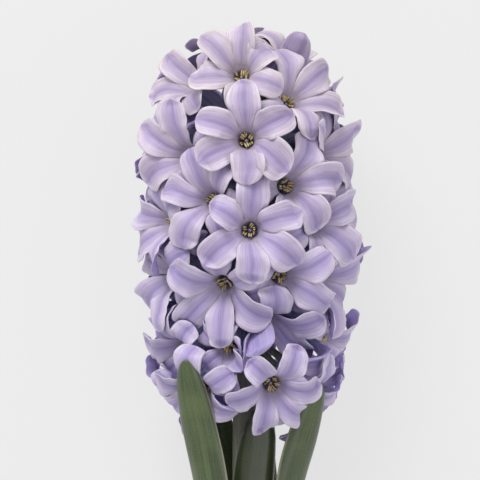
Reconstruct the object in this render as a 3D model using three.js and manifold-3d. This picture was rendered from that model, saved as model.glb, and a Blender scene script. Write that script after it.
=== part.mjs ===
// Cut hyacinth (Hyacinthus orientalis) with its five leaves, lying on its back on a table.
// Millimetres, +Z up. The stem runs along +Y, its tip raised a little, and the open side faces +Z.
// The plant is drawn upright in its own frame first: X to its right, Y up its stem, Z to its front.
import * as THREE from "three";
import { mergeVertices } from "three/addons/utils/BufferGeometryUtils.js";
import Module from "manifold-3d";

const wasm = await Module();
wasm.setup();

// Driving dimensions: the whole plant
const FLORETS = 52;
const MM_PER_PIXEL = 0.33; // the head, 424 pixels tall, is 140 mm long
const AXIS_PIXEL = 248.5; // the stem's column in the photograph
const CUT_PIXEL = 740; // the row where the cut end would be, below the photograph's edge
const LEAN = 7.5; // degrees the stem rises from the table
const CUT_HEIGHT = 12; // the stem's middle above the table at its cut end
const CLEARANCE = 0.35; // free space kept round every petal
const TABLE_GAP = 0.3; // lowest that a petal comes to the table

// Driving dimensions: the head
const HEAD_BOTTOM = 133; // the lowest floret's place up the stem
const HEAD_RUN = 79; // from there to the highest one
const HEAD_TOP = 239; // highest that a petal reaches up the stem
const HEAD_RADIUS = 38.5; // furthest that a petal reaches from the stem's middle
const REACH = 28; // from the stem's middle to a floret's mouth
const TOP_REACH = 13; // so much less at the tip
const LOWEST_LIFT = -42; // degrees that the lowest florets rise; they hang
const LIFT_GAIN = 66; // degrees more up the head
const TIP_LIFT_GAIN = 58; // and more again at its tip
const THROAT_REST = 7.5; // lowest that a mouth comes to the table
const GOLDEN_TURN = 137.508;
const START_TURN = 52;
const SPACING = 20.5; // between neighbouring mouths
const HIGHEST = 0.97; // share of the run that the last floret may reach
const TIP_SHRINK = 0.16; // florets at the tip are smaller by this share

// Driving dimensions: one floret, from the joint with its stalk
const TUBE_LENGTH = 13;
const TUBE_BASE_RADIUS = 1.7;
const TUBE_BELLY_RADIUS = 3.7;
const TUBE_BELLY_AT = 4;
const MOUTH_RADIUS = 4.5;
const MOUTH_WALL = 0.8;
const NOTCH_DEPTH = 0.4;
const WELL_RADIUS = 2.5;
const WELL_AT = 6.5;
const PISTIL_AT = 11;
const PETALS = 6;
const PETAL_LENGTH = 20;
const PETAL_WIDTH = 10;
const FACE_RIDGE = 0.44; // the midrib stands so far out of a petal's face
const BACK_RIDGE = 0.66; // and so far out of its back
const OUTER_FIRST = 24; // an outer petal leaves the mouth at so many degrees from the floret's axis
const INNER_FIRST = 14;
const LOWEST_LAST = 150; // and a low floret's petals end at so many
const LAST_LOSS = 35; // fewer at the tip of the head
const AIM_SWAY = 1.6; // a petal sways so much more than its aim is off, because it does so gradually
const STEEPEST_ROOT = 85; // most that a petal may bend out at its root, in degrees
const ROOT_ANGLE = 30; // half of a petal's root, round the mouth
const NECK_ANGLE = 21; // the part of it that keeps clear of the roots beside it
const STALK_RADIUS = 1.3;
const STALK_GAP = 0.3;

// Driving dimensions: stem, leaves and the slice of bulb base that holds them
const STEM_TOP = 213;
const STEM_RADIUS = 5.2;
const STEM_SIDES = 10;
const STALK_SIDES = 5;
const LEAF_THICKNESS = 1.6;
const LEAF_ROWS = 9;
const KEEL = 0.2; // half of the flat strip down a leaf's middle, as a share of its half width
const BASE_CURL = 62; // degrees that each side of a leaf turns in at its ends
const OPEN_CURL = 40; // and at its middle
const LEAF_FULLNESS = 0.8; // a leaf's sides curl round so much less than a circle
const LEAF_TIP = 0.16; // width of a leaf's tip as a share of its own
const LEAF_BLUNTNESS = 7; // the higher, the nearer to its tip a leaf starts to narrow
const LEAF_NARROW = 0.3; // up to here along it a leaf is as narrow as at its foot
const LEAF_WIDE = 0.75; // and from here on it is at its widest
const LEAF_FACING = 0.5; // and turned to the front there, by this share of its turn round the stem
const TIP_THINNING = 0.75; // most that a leaf is thick, as a share of the radius that it curls round
const PLATE_RADIUS = 10.6;
const PLATE_THICKNESS = 6;
const PLATE_CHAMFER = 2.3;
const PLATE_SIDES = 18;
const SEAT_GAP = 0.3;

const rad = THREE.MathUtils.degToRad;
const smoothstep = THREE.MathUtils.smoothstep;
const point = (x, y, z) => new THREE.Vector3(x, y, z);
const UP = point(0, 1, 0);
const TABLE_NORMAL = point(0, Math.sin(rad(LEAN)), Math.cos(rad(LEAN)));
const SIXTH = rad(360 / PETALS);

// A seeded draw from -1 to 1 for floret i, petal k and purpose c.
function draw(i, k, c) {
  const s = Math.sin(i * 12.9898 + k * 78.233 + c * 37.719) * 43758.5453;
  return 2 * (s - Math.floor(s)) - 1;
}

// Height above the table of a point in the plant's frame, and the table's depth below the stem.
const tableHeight = (p) => CUT_HEIGHT + p.dot(TABLE_NORMAL);
const tableAt = (up) => -(CUT_HEIGHT + up * TABLE_NORMAL.y) / TABLE_NORMAL.z;

// Triangles as a flat list of corner points to a geometry; a point used twice is one vertex.
function geometryOf(corners) {
  const points = [...new Set(corners)];
  const numbers = new Map(points.map((p, i) => [p, i]));
  const geometry = new THREE.BufferGeometry().setFromPoints(points);
  return geometry.setIndex(corners.map((p) => numbers.get(p)));
}

function solidFrom(geometry) {
  return new wasm.Manifold(
    new wasm.Mesh({
      numProp: 3,
      vertProperties: new Float32Array(geometry.attributes.position.array),
      triVerts: new Uint32Array(geometry.index.array),
    }),
  );
}

// A solid from one of three.js's own shapes, whose seams are merged first.
function solidOf(geometry) {
  const bare = geometry.clone();
  bare.deleteAttribute("normal");
  bare.deleteAttribute("uv");
  return solidFrom(mergeVertices(bare, 1e-4));
}

function geometryFrom(solid) {
  const mesh = solid.getMesh();
  const geometry = new THREE.BufferGeometry();
  geometry.setAttribute("position", new THREE.BufferAttribute(mesh.vertProperties, 3));
  geometry.setIndex(new THREE.BufferAttribute(mesh.triVerts, 1));
  return geometry;
}

function quad(corners, a, b, c, d) {
  corners.push(a, b, c, a, c, d);
}

function lathe(profile, sides) {
  const outline = profile.map(([radius, height]) => new THREE.Vector2(radius, height));
  return new THREE.LatheGeometry(outline, sides);
}

// How the florets change up the head: u is 0 at the lowest and 1 at the highest.
function headAt(u) {
  return {
    attach: HEAD_BOTTOM + HEAD_RUN * u,
    lift: rad(LOWEST_LIFT + LIFT_GAIN * u ** 0.8 + TIP_LIFT_GAIN * u ** 8),
    reach: REACH - TOP_REACH * u ** 7,
  };
}

function wayOf(turn, lift) {
  return point(Math.sin(turn) * Math.cos(lift), Math.sin(lift), Math.cos(turn) * Math.cos(lift));
}

function mouthAt(u, turn) {
  const { attach, lift, reach } = headAt(u);
  return wayOf(turn, lift).multiplyScalar(reach).addScaledVector(UP, attach);
}

// The florets that the photograph shows best: their mouth's column and row, their rise in degrees, how
// far each petal bends and where it points, in degrees clockwise from up. Seen ones show their throat.
const SHOWN = [
  {
    column: 241,
    row: 75,
    lift: 27,
    seen: true,
    open: [112, 140, 145, 150, 150, 135],
    aims: [3, 48, 104, 178, 270, 302],
  },
  {
    column: 246,
    row: 140,
    lift: 8,
    seen: true,
    open: [125, 108, 125, 120, 108, 112],
    aims: [0, 57, 125, 180, 236, 287],
  },
  {
    column: 286,
    row: 186,
    lift: 6,
    seen: true,
    open: [120, 125, 130, 130, 135, 112],
    aims: [21, 88, 140, 196, 262, 316],
  },
  {
    column: 250,
    row: 230,
    lift: 2,
    seen: true,
    open: [130, 108, 118, 130, 112, 112],
    aims: [2, 64, 130, 183, 225, 288],
  },
  {
    column: 213,
    row: 201,
    lift: 6,
    seen: true,
    open: [125, 112, 135, 130, 130, 118],
    aims: [-22, 33, 98, 150, 204, 277],
  },
  {
    column: 272,
    row: 385,
    lift: -24,
    seen: true,
    open: [135, 150, 165, 122, 150, 145],
    aims: [28, 82, 116, 170, 243, 310],
  },
  {
    column: 265,
    row: 316,
    lift: -52,
    seen: false,
    open: [140, 120, 150, 130, 150, 140],
    aims: [0, 60, 120, 180, 240, 300],
  },
  {
    column: 224,
    row: 284,
    lift: -30,
    seen: false,
    open: [150, 140, 130, 120, 115, 140],
    aims: [0, 60, 120, 180, 226, 290],
  },
];

// Florets in even shares of the head's surface, a golden turn apart.
function layOutFlorets() {
  const steps = 400;
  const area = [0];
  for (let s = 1; s <= steps; s++) {
    const low = mouthAt((s - 1) / steps, 0);
    const high = mouthAt(s / steps, 0);
    area.push(area[s - 1] + (low.distanceTo(high) * (low.z + high.z)) / 2);
  }
  const florets = [];
  let s = 0;
  for (let i = 0; i < FLORETS; i++) {
    const share = ((i + 0.5) / FLORETS) * area[steps];
    while (area[s + 1] < share) s++;
    const u = (s + (share - area[s]) / (area[s + 1] - area[s])) / steps;
    florets.push({ index: i, u, turn: rad((START_TURN + i * GOLDEN_TURN) % 360), shown: null });
  }
  return florets;
}

// Each shown floret takes the place of the nearest one that is still free.
function pinShown(florets) {
  for (const shown of SHOWN) {
    const height = (CUT_PIXEL - shown.row) * MM_PER_PIXEL;
    const lift = rad(shown.lift);
    let u = 0;
    while (u < 1 && mouthAt(u, 0).y < height) u += 0.001;
    const { reach } = headAt(u);
    const turn = Math.asin(((shown.column - AXIS_PIXEL) * MM_PER_PIXEL) / (reach * Math.cos(lift)));
    const attach = height - reach * Math.sin(lift);
    const mouth = wayOf(turn, lift).multiplyScalar(reach).addScaledVector(UP, attach);
    const away = (f) => mouthAt(f.u, f.turn).distanceTo(mouth);
    const free = florets.filter((f) => !f.shown);
    const nearest = free.reduce((best, f) => (away(f) < away(best) ? f : best));
    Object.assign(nearest, { u, turn, shown, mouth, lift, attach });
  }
}

// Neighbours nearer than SPACING push each other along the head's surface; the shown ones stay.
function evenOut(florets) {
  const small = 0.001;
  const rounds = 60;
  const eagerness = 0.25;
  for (let round = 0; round < rounds; round++) {
    const mouths = florets.map((f) => (f.shown ? f.mouth : mouthAt(f.u, f.turn)));
    florets.forEach((f, i) => {
      if (f.shown) return;
      const here = mouths[i];
      const along = mouthAt(f.u + small, f.turn).sub(here).divideScalar(small);
      const around = mouthAt(f.u, f.turn + small).sub(here).divideScalar(small);
      const push = point(0, 0, 0);
      mouths.forEach((other, j) => {
        const gap = here.distanceTo(other);
        if (j === i || gap >= SPACING) return;
        push.addScaledVector(here.clone().sub(other), (eagerness * (SPACING - gap)) / gap);
      });
      f.u += push.dot(along) / along.lengthSq();
      f.turn += push.dot(around) / Math.max(around.lengthSq(), 64);
      f.u = Math.min(HIGHEST, Math.max(0, f.u));
    });
  }
}

// Each floret's own frame: joint with its stalk, way out, up and right as its viewer sees it.
function frameFloret(f) {
  const head = headAt(f.u);
  const lift = f.shown ? f.lift : head.lift + rad(7) * draw(f.index, 0, 1);
  f.way = wayOf(f.turn, lift);
  f.up = wayOf(f.turn, lift + rad(90));
  f.right = f.up.clone().cross(f.way);
  f.root = point(0, f.shown ? f.attach : head.attach, 0);
  let reach = head.reach + (f.shown ? 0 : 1.2 * draw(f.index, 0, 2));
  const drop = -f.way.dot(TABLE_NORMAL);
  if (drop > 0) reach = Math.min(reach, (tableHeight(f.root) - THROAT_REST) / drop);
  f.size = 1 - TIP_SHRINK * f.u ** 4;
  f.joint = f.root.clone().addScaledVector(f.way, reach - TUBE_LENGTH * f.size);
  f.roll = f.shown ? rad(f.shown.aims[0]) : rad(9) * draw(f.index, 0, 3);
}

// A point of a floret: away from its axis at an angle clockwise from up, and out along the axis.
function spot(f, angle, away, out) {
  return f.joint
    .clone()
    .addScaledVector(f.up, Math.cos(angle) * away * f.size)
    .addScaledVector(f.right, Math.sin(angle) * away * f.size)
    .addScaledVector(f.way, out * f.size);
}

// Six points round a floret's axis, over its petals at offset 0 and between them at offset 0.5.
function ring(f, offset, away, out) {
  return [...Array(PETALS).keys()].map((k) => spot(f, f.roll + SIXTH * (k + offset), away, out));
}

// Where a petal's sections stand along it, and half its width and the rise of its edges there.
const STATIONS = [
  { at: 0.25, half: 0.35, edge: 0.6 },
  { at: 0.6, half: 0.52, edge: -0.3 },
  { at: 0.85, half: 0.41, edge: -0.6 },
];
const PATH_STEPS = 20;

// A petal's directions at t along it: it bends from its first angle to its last, measured from the
// floret's axis, while it sways aside and twists.
function petalDirections(f, petal, t) {
  const angle = f.roll + SIXTH * petal.k;
  const outward = f.up.clone().multiplyScalar(Math.cos(angle)).addScaledVector(f.right, Math.sin(angle));
  const around = f.up.clone().multiplyScalar(-Math.sin(angle)).addScaledVector(f.right, Math.cos(angle));
  const bend = rad(petal.first + (petal.last - petal.first) * t);
  const sway = rad(petal.sway * t);
  const twist = rad(petal.twist * t);
  const mix = (a, b, turn) => a.clone().multiplyScalar(Math.cos(turn)).addScaledVector(b, Math.sin(turn));
  const aside = mix(outward, around, sway);
  const level = mix(outward, around, sway + rad(90));
  const face = mix(f.way, aside, bend - rad(90));
  return {
    along: mix(f.way, aside, bend),
    face: mix(face, level, -twist),
    across: mix(level, face, twist),
  };
}

function petalPath(f, petal) {
  const here = spot(f, f.roll + SIXTH * petal.k, MOUTH_RADIUS - MOUTH_WALL / 2, TUBE_LENGTH);
  const step = (petal.length * f.size) / PATH_STEPS;
  const path = [];
  for (let s = 0; s <= PATH_STEPS; s++) {
    path.push({ at: here.clone(), ...petalDirections(f, petal, s / PATH_STEPS) });
    here.addScaledVector(petalDirections(f, petal, (s + 0.5) / PATH_STEPS).along, step);
  }
  return path;
}

// The petal's four-cornered sections, left edge, midrib's face, right edge and midrib's back, and its
// tip, all swollen by an extra amount.
function petalSections(f, petal, extra) {
  const path = petalPath(f, petal);
  const sections = STATIONS.map(({ at, half, edge }) => {
    const here = path[Math.round(at * PATH_STEPS)];
    const side = half * petal.width * f.size + extra;
    const corner = (across, face) =>
      here.at.clone().addScaledVector(here.across, across).addScaledVector(here.face, face);
    return [
      corner(-side, edge * f.size),
      corner(0, FACE_RIDGE + extra),
      corner(side, edge * f.size),
      corner(0, -BACK_RIDGE - extra),
    ];
  });
  const end = path[PATH_STEPS];
  return { sections, tip: end.at.clone().addScaledVector(end.along, extra) };
}

function addPetal(corners, sections, tip) {
  for (let s = 0; s + 1 < sections.length; s++)
    for (let j = 0; j < 4; j++) {
      const n = (j + 1) % 4;
      quad(corners, sections[s][j], sections[s][n], sections[s + 1][n], sections[s + 1][j]);
    }
  const end = sections[sections.length - 1];
  for (let j = 0; j < 4; j++) corners.push(end[j], end[(j + 1) % 4], tip);
}

// A petal alone, closed at its first section, or at a root so many degrees to each side at the mouth.
function loosePetal(f, petal, extra, rootAngle) {
  const { sections, tip } = petalSections(f, petal, extra);
  if (rootAngle) {
    const angle = f.roll + SIXTH * petal.k;
    const edge = MOUTH_RADIUS - MOUTH_WALL / 2;
    sections.unshift([
      spot(f, angle - rad(rootAngle), edge, TUBE_LENGTH),
      spot(f, angle, MOUTH_RADIUS - MOUTH_WALL - extra, TUBE_LENGTH),
      spot(f, angle + rad(rootAngle), edge, TUBE_LENGTH),
      spot(f, angle, MOUTH_RADIUS + extra, TUBE_LENGTH),
    ]);
  }
  const corners = [];
  const [left, face, right, back] = sections[0];
  quad(corners, left, back, right, face);
  addPetal(corners, sections, tip);
  return corners;
}

// One floret as one closed surface: tube, mouth, pistil and six petals.
function floretCorners(f) {
  const corners = [];
  const inner = MOUTH_RADIUS - MOUTH_WALL;
  const base = ring(f, 0, TUBE_BASE_RADIUS, 0);
  const belly = ring(f, 0, TUBE_BELLY_RADIUS, TUBE_BELLY_AT);
  const well = ring(f, 0, WELL_RADIUS, WELL_AT);
  const ribOut = ring(f, 0, MOUTH_RADIUS, TUBE_LENGTH);
  const ribIn = ring(f, 0, inner, TUBE_LENGTH);
  const notchOut = ring(f, 0.5, MOUTH_RADIUS, TUBE_LENGTH);
  const notchIn = ring(f, 0.5, inner, TUBE_LENGTH - NOTCH_DEPTH);
  const pistil = spot(f, 0, 0, PISTIL_AT);
  for (let k = 0; k < PETALS; k++) {
    const n = (k + 1) % PETALS;
    const p = (k + PETALS - 1) % PETALS;
    if (k > 0 && k < PETALS - 1) corners.push(base[0], base[k], base[n]);
    quad(corners, belly[k], belly[n], base[n], base[k]);
    corners.push(ribOut[k], notchOut[k], belly[k], notchOut[p], ribOut[k], belly[k]);
    corners.push(notchOut[k], belly[n], belly[k]);
    corners.push(notchIn[k], ribIn[k], well[k], ribIn[k], notchIn[p], well[k]);
    corners.push(notchIn[k], well[k], well[n], well[n], well[k], pistil);
    const { sections, tip } = petalSections(f, f.petals[k], 0);
    const [left, face, right, back] = sections[0];
    quad(corners, notchIn[p], ribIn[k], face, left);
    quad(corners, ribIn[k], notchIn[k], right, face);
    quad(corners, notchOut[p], left, back, ribOut[k]);
    quad(corners, ribOut[k], back, right, notchOut[k]);
    corners.push(notchIn[p], left, notchOut[p], right, notchIn[k], notchOut[k]);
    addPetal(corners, sections, tip);
  }
  return corners;
}

// A closed stack of six-sided rings of a floret, each given as how far out and how wide.
function stackCorners(f, sizes) {
  const corners = [];
  const rings = sizes.map(([out, away]) => ring(f, 0, away, out));
  const first = rings[0];
  const last = rings[rings.length - 1];
  for (let k = 0; k < PETALS; k++) {
    const n = (k + 1) % PETALS;
    if (k > 0 && k < PETALS - 1) corners.push(first[0], first[k], first[n], last[0], last[n], last[k]);
    for (let s = 0; s + 1 < rings.length; s++)
      quad(corners, rings[s + 1][k], rings[s + 1][n], rings[s][n], rings[s][k]);
  }
  return corners;
}

// The bare tube, and the tube with a collar that keeps other petals off its petals' roots.
const TUBE = [
  [0, TUBE_BASE_RADIUS],
  [TUBE_BELLY_AT, TUBE_BELLY_RADIUS],
  [TUBE_LENGTH, MOUTH_RADIUS],
];
const COLLAR = [
  [0, TUBE_BASE_RADIUS],
  [TUBE_BELLY_AT, TUBE_BELLY_RADIUS + 0.2],
  [TUBE_LENGTH - 1.2, MOUTH_RADIUS + 0.7],
  [TUBE_LENGTH + 1, MOUTH_RADIUS + 0.7],
];
// The space before a mouth that the photograph shows open.
const VIEW = [
  [TUBE_LENGTH + 0.5, 3],
  [TUBE_LENGTH + 14, 4.5],
];

// The bends a petal may take instead of its own, nearest first.
function bendChoices() {
  const choices = [];
  for (const shorter of [0, 0.12, 0.25, 0.4, 0.55, 0.7])
    for (const last of [0, -20, 20, -40, 40, -60, 60, -80, 80, -110, 100, -140, 120])
      for (const first of [0, 15, -8, 30, -24, 50, 65])
        for (const sway of [0, -14, 14, -26, 26, -40, 40]) {
          const cost = Math.abs(last) / 40 + Math.abs(first) / 20 + Math.abs(sway) / 16 + shorter * 9;
          choices.push({ shorter, last, first, sway, cost });
        }
  return choices.sort((a, b) => a.cost - b.cost);
}
const CHOICES = bendChoices();

// The petal as it would grow with nothing in its way; the outer and the inner three alternate.
function ownPetal(f, k) {
  const outer = k % 2 === 0;
  const i = f.index;
  const petal = {
    k,
    first: outer ? OUTER_FIRST : INNER_FIRST,
    last: LOWEST_LAST - LAST_LOSS * f.u + 32 * draw(i, k, 4) + (outer ? 8 : -8),
    sway: 7 * draw(i, k, 5),
    twist: 16 * draw(i, k, 6),
    length: PETAL_LENGTH * (1 + 0.06 * draw(i, k, 7)),
    width: PETAL_WIDTH * (1 + 0.08 * draw(i, k, 8)),
  };
  if (f.shown) {
    petal.last = f.shown.open[k];
    petal.sway = AIM_SWAY * (f.shown.aims[k] - f.shown.aims[0] - (360 / PETALS) * k);
    petal.twist /= 2;
  }
  return petal;
}

const bent = (own, choice) => ({
  ...own,
  first: own.first + choice.first,
  last: own.last + choice.last,
  sway: own.sway + choice.sway,
  length: own.length * (1 - choice.shorter),
  width: own.width * (1 - 0.4 * choice.shorter),
});

// What stands in the way: solids with their boxes, their kind and the floret that they belong to.
class Obstacles {
  constructor() {
    this.list = [];
  }
  add(geometry, kind, floret) {
    geometry.computeBoundingBox();
    this.list.push({ solid: solidFrom(geometry), box: geometry.boundingBox.clone(), kind, floret });
  }
  blocks(corners, counts) {
    const made = geometryOf(corners);
    made.computeBoundingBox();
    const near = this.list.filter((o) => counts(o) && o.box.intersectsBox(made.boundingBox));
    if (!near.length) return false;
    const solid = solidFrom(made);
    const hit = near.some((o) => {
      const shared = solid.intersect(o.solid);
      const touched = !shared.isEmpty();
      shared.delete();
      return touched;
    });
    solid.delete();
    return hit;
  }
}

// Whether a point lies outside the head's outline or too near the table.
function outOfBounds(p) {
  return tableHeight(p) < TABLE_GAP || Math.hypot(p.x, p.z) > HEAD_RADIUS || p.y > HEAD_TOP;
}

// A petal's nearest bend to its own that touches nothing placed before it.
function freeBend(f, k, obstacles) {
  const own = ownPetal(f, k);
  const among = (kinds, mine) => (o) => kinds.includes(o.kind) && (o.floret === f) === mine;
  return CHOICES.find((choice) => {
    const petal = bent(own, choice);
    if (petal.first > STEEPEST_ROOT) return false;
    const whole = loosePetal(f, petal, CLEARANCE, ROOT_ANGLE);
    if (whole.some(outOfBounds)) return false;
    if (obstacles.blocks(loosePetal(f, petal, CLEARANCE, 0), among(["tube", "neck"], true))) return false;
    if (obstacles.blocks(loosePetal(f, petal, CLEARANCE, NECK_ANGLE), among(["blade"], true))) return false;
    return !obstacles.blocks(whole, among(["plant", "collar", "view", "petal"], false));
  });
}

// Places a floret's petals in an order; returns those that found no free bend.
function placePetals(f, order, obstacles) {
  f.petals = [];
  const missed = [];
  for (const k of order) {
    const choice = freeBend(f, k, obstacles);
    if (!choice) missed.push(k);
    f.petals[k] = bent(ownPetal(f, k), choice || CHOICES[0]);
    obstacles.add(geometryOf(loosePetal(f, f.petals[k], 0, 0)), "blade", f);
    obstacles.add(geometryOf(loosePetal(f, f.petals[k], 0, NECK_ANGLE)), "neck", f);
    obstacles.add(geometryOf(loosePetal(f, f.petals[k], 0, ROOT_ANGLE)), "petal", f);
  }
  return missed;
}

// The florets in view come first, then the crowded lowest ones, then the rest from front to back. A
// floret with a blocked petal starts again with that petal first.
function choosePetals(florets, obstacles) {
  for (const f of florets) {
    obstacles.add(geometryOf(stackCorners(f, TUBE)), "tube", f);
    obstacles.add(geometryOf(stackCorners(f, COLLAR)), "collar", f);
    if (f.shown?.seen) obstacles.add(geometryOf(stackCorners(f, VIEW)), "view", f);
  }
  const rank = (f) => (f.shown ? 4 : 0) + (f.u < 0.1 ? 2 : 0) + f.way.z;
  for (const f of [...florets].sort((a, b) => rank(b) - rank(a))) {
    const before = obstacles.list.length;
    let order = [0, 2, 4, 1, 3, 5];
    let missed = placePetals(f, order, obstacles);
    for (let tries = 0; tries < 3 && missed.length; tries++) {
      obstacles.list.length = before;
      order = [...missed, ...order.filter((k) => !missed.includes(k))];
      missed = placePetals(f, order, obstacles);
    }
    if (missed.length) throw new Error(`floret ${f.index} has a petal with no free bend`);
  }
}

// Stem with every floret's stalk joined to it.
function stemSolid(florets) {
  const profile = [
    [0, 0],
    [STEM_RADIUS + 0.9, 0],
    [STEM_RADIUS + 0.5, 40],
    [STEM_RADIUS, 110],
    [STEM_RADIUS - 0.6, 150],
    [STEM_RADIUS - 1.8, 185],
    [STEM_RADIUS - 3.2, STEM_TOP - 4],
    [0, STEM_TOP],
  ];
  const stalks = florets.map((f) => {
    const length = f.root.distanceTo(f.joint) - STALK_GAP;
    const stalk = new THREE.CylinderGeometry(STALK_RADIUS, STALK_RADIUS * 1.15, length, STALK_SIDES);
    stalk.applyQuaternion(new THREE.Quaternion().setFromUnitVectors(UP, f.way));
    const middle = f.root.clone().addScaledVector(f.way, length / 2);
    return solidOf(stalk.translate(middle.x, middle.y, middle.z));
  });
  return wasm.Manifold.union([solidOf(lathe(profile, STEM_SIDES)), ...stalks]);
}

// The leaves: each midline's points are right, up the stem and front; they start at the bulb's base.
// Swell is the share by which a leaf's upper part is wider than its foot.
// The one beneath lies on the table with the flat strip down its back, for so much of its length to each
// side of its middle.
const LEAVES = [
  {
    name: "leaf_front_left",
    width: 15.5,
    swell: 0,
    path: [
      [-8.9, 0, 4.4],
      [-9.6, 30, 6.6],
      [-11.0, 62, 11.5],
      [-14.6, 90, 18.0],
      [-18.9, 112, 24.0],
      [-21.4, 125, 28.2],
    ],
  },
  {
    name: "leaf_front_right",
    width: 14,
    swell: 0.16,
    path: [
      [8.9, 0, 4.4],
      [9.8, 30, 5.8],
      [12.2, 60, 8.0],
      [16.0, 86, 10.5],
      [20.8, 104, 12.5],
      [24.8, 118, 14.0],
    ],
  },
  {
    name: "leaf_front",
    width: 14.5,
    swell: 0.16,
    path: [
      [0.9, 0, 7.6],
      [0.9, 30, 8.4],
      [1.2, 60, 9.6],
      [2.0, 84, 10.4],
      [3.6, 99, 11.0],
      [4.8, 109, 11.6],
    ],
  },
  {
    name: "leaf_back_left",
    width: 15,
    swell: 0.16,
    path: [
      [-3.4, 0, -6.9],
      [-4.6, 30, -7.6],
      [-6.2, 58, -8.2],
      [-8.4, 82, -8.4],
      [-10.2, 98, -8.2],
      [-11.6, 109, -7.8],
    ],
  },
  {
    name: "leaf_under",
    width: 16.5,
    swell: 0,
    flat: 0.125,
    path: [
      [3.6, 0, -9.6],
      [3.8, 14, -11.6],
      [4.0, 29, -14.4],
      [4.0, 43, tableAt(43)],
      [4.0, 57, tableAt(57)],
      [4.0, 71, tableAt(71)],
      [4.0, 84, -19.4],
      [4.3, 95, -17.4],
      [4.6, 103, -15.4],
    ],
  },
];
const LEAF_COLUMNS = [-1, -0.62, -KEEL, KEEL, 0.62, 1];

// A leaf's corners across it at t along it: its back from left to right, then its face from right to
// left. A flat strip runs down its middle, and its sides curl in. Its upper part is wider and turned
// more to the front.
function leafRow(leaf, curve, t) {
  const middle = curve.getPoint(t);
  const along = curve.getTangent(t);
  const upper = smoothstep(t, LEAF_NARROW, LEAF_WIDE);
  const inward = point(-middle.x * (1 - LEAF_FACING * upper), 0, -middle.z).normalize();
  if (leaf.flat) inward.lerp(TABLE_NORMAL, 1 - smoothstep(Math.abs(t - 0.5), leaf.flat, 2.8 * leaf.flat));
  inward.addScaledVector(along, -inward.dot(along)).normalize();
  const across = along.clone().cross(inward);
  const outline = Math.sqrt(1 - t ** LEAF_BLUNTNESS) * (1 - LEAF_TIP) + LEAF_TIP;
  const half = (leaf.width / 2) * outline * (1 + leaf.swell * upper);
  const curl = rad(BASE_CURL - (BASE_CURL - OPEN_CURL) * Math.sin(Math.PI * t));
  const radius = (half * LEAF_FULLNESS) / curl;
  const thickness = Math.min(LEAF_THICKNESS, TIP_THINNING * radius);
  const corner = (column, depth) => {
    const side = Math.sign(column);
    const swing = (side * Math.max(0, Math.abs(column) - KEEL) * curl) / (1 - KEEL);
    const wide = side * Math.min(KEEL, Math.abs(column)) * half + radius * Math.sin(swing);
    return middle
      .clone()
      .addScaledVector(across, wide - Math.sin(swing) * depth)
      .addScaledVector(inward, radius * (1 - Math.cos(swing)) + Math.cos(swing) * depth);
  };
  const back = LEAF_COLUMNS.map((c) => corner(c, 0));
  const face = LEAF_COLUMNS.map((c) => corner(c, thickness));
  return [...back, ...face.reverse()];
}

function leafCorners(leaf) {
  const points = leaf.path.map(([x, y, z]) => point(x, y, z));
  const curve = new THREE.CatmullRomCurve3(points, false, "centripetal");
  const rows = [...Array(LEAF_ROWS).keys()].map((r) => leafRow(leaf, curve, r / (LEAF_ROWS - 1)));
  const corners = [];
  const count = 2 * LEAF_COLUMNS.length;
  const first = rows[0];
  const last = rows[LEAF_ROWS - 1];
  for (let c = 0; c < LEAF_COLUMNS.length - 1; c++) {
    const other = count - 1 - c;
    quad(corners, first[c], first[c + 1], first[other - 1], first[other]);
    quad(corners, last[other], last[other - 1], last[c + 1], last[c]);
  }
  for (let r = 0; r + 1 < LEAF_ROWS; r++)
    for (let c = 0; c < count; c++) {
      const n = (c + 1) % count;
      quad(corners, rows[r][n], rows[r][c], rows[r + 1][c], rows[r + 1][n]);
    }
  return corners;
}

// The slice of bulb base, a small gap below the cut ends that stand on it.
function plateGeometry() {
  const top = -SEAT_GAP;
  const bottom = top - PLATE_THICKNESS;
  const profile = [
    [0, bottom],
    [PLATE_RADIUS - PLATE_CHAMFER, bottom],
    [PLATE_RADIUS, bottom + PLATE_CHAMFER],
    [PLATE_RADIUS, top],
    [0, top],
  ];
  return lathe(profile, PLATE_SIDES);
}

const petalLilac = new THREE.MeshStandardMaterial({ color: 0xb9aeda, roughness: 0.55, metalness: 0 });
const leafGreen = new THREE.MeshStandardMaterial({ color: 0x4a6238, roughness: 0.4, metalness: 0 });
const stemGreen = new THREE.MeshStandardMaterial({ color: 0x6a6f58, roughness: 0.5, metalness: 0 });
const bulbCream = new THREE.MeshStandardMaterial({ color: 0xd9cfae, roughness: 0.7, metalness: 0 });

function addMesh(group, name, geometry, material) {
  const mesh = new THREE.Mesh(geometry, material);
  mesh.name = name;
  group.add(mesh);
}

// Builds the plant upright, with each petal bent clear of the rest.
function buildPlant() {
  const florets = layOutFlorets();
  pinShown(florets);
  evenOut(florets);
  florets.forEach(frameFloret);
  const stem = geometryFrom(stemSolid(florets));
  const leaves = LEAVES.map((leaf) => geometryOf(leafCorners(leaf)));
  const obstacles = new Obstacles();
  for (const geometry of [stem, ...leaves]) obstacles.add(geometry, "plant", null);
  choosePetals(florets, obstacles);

  const plant = new THREE.Group();
  addMesh(plant, "stem", stem, stemGreen);
  addMesh(plant, "bulb_base", plateGeometry(), bulbCream);
  LEAVES.forEach((leaf, i) => addMesh(plant, leaf.name, leaves[i], leafGreen));
  for (const f of florets) {
    const name = `floret_${String(f.index + 1).padStart(2, "0")}`;
    addMesh(plant, name, geometryOf(floretCorners(f)), petalLilac);
  }
  return plant;
}

// Lays the plant on its back, over the middle of its own footprint.
function layDown(plant) {
  plant.rotation.x = rad(LEAN);
  plant.updateMatrixWorld(true);
  const box = new THREE.Box3().setFromObject(plant, true);
  plant.position.set(-(box.min.x + box.max.x) / 2, -(box.min.y + box.max.y) / 2, CUT_HEIGHT);
}

const plant = buildPlant();
layDown(plant);
const part = new THREE.Group();
part.add(plant);
export default part;
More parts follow.
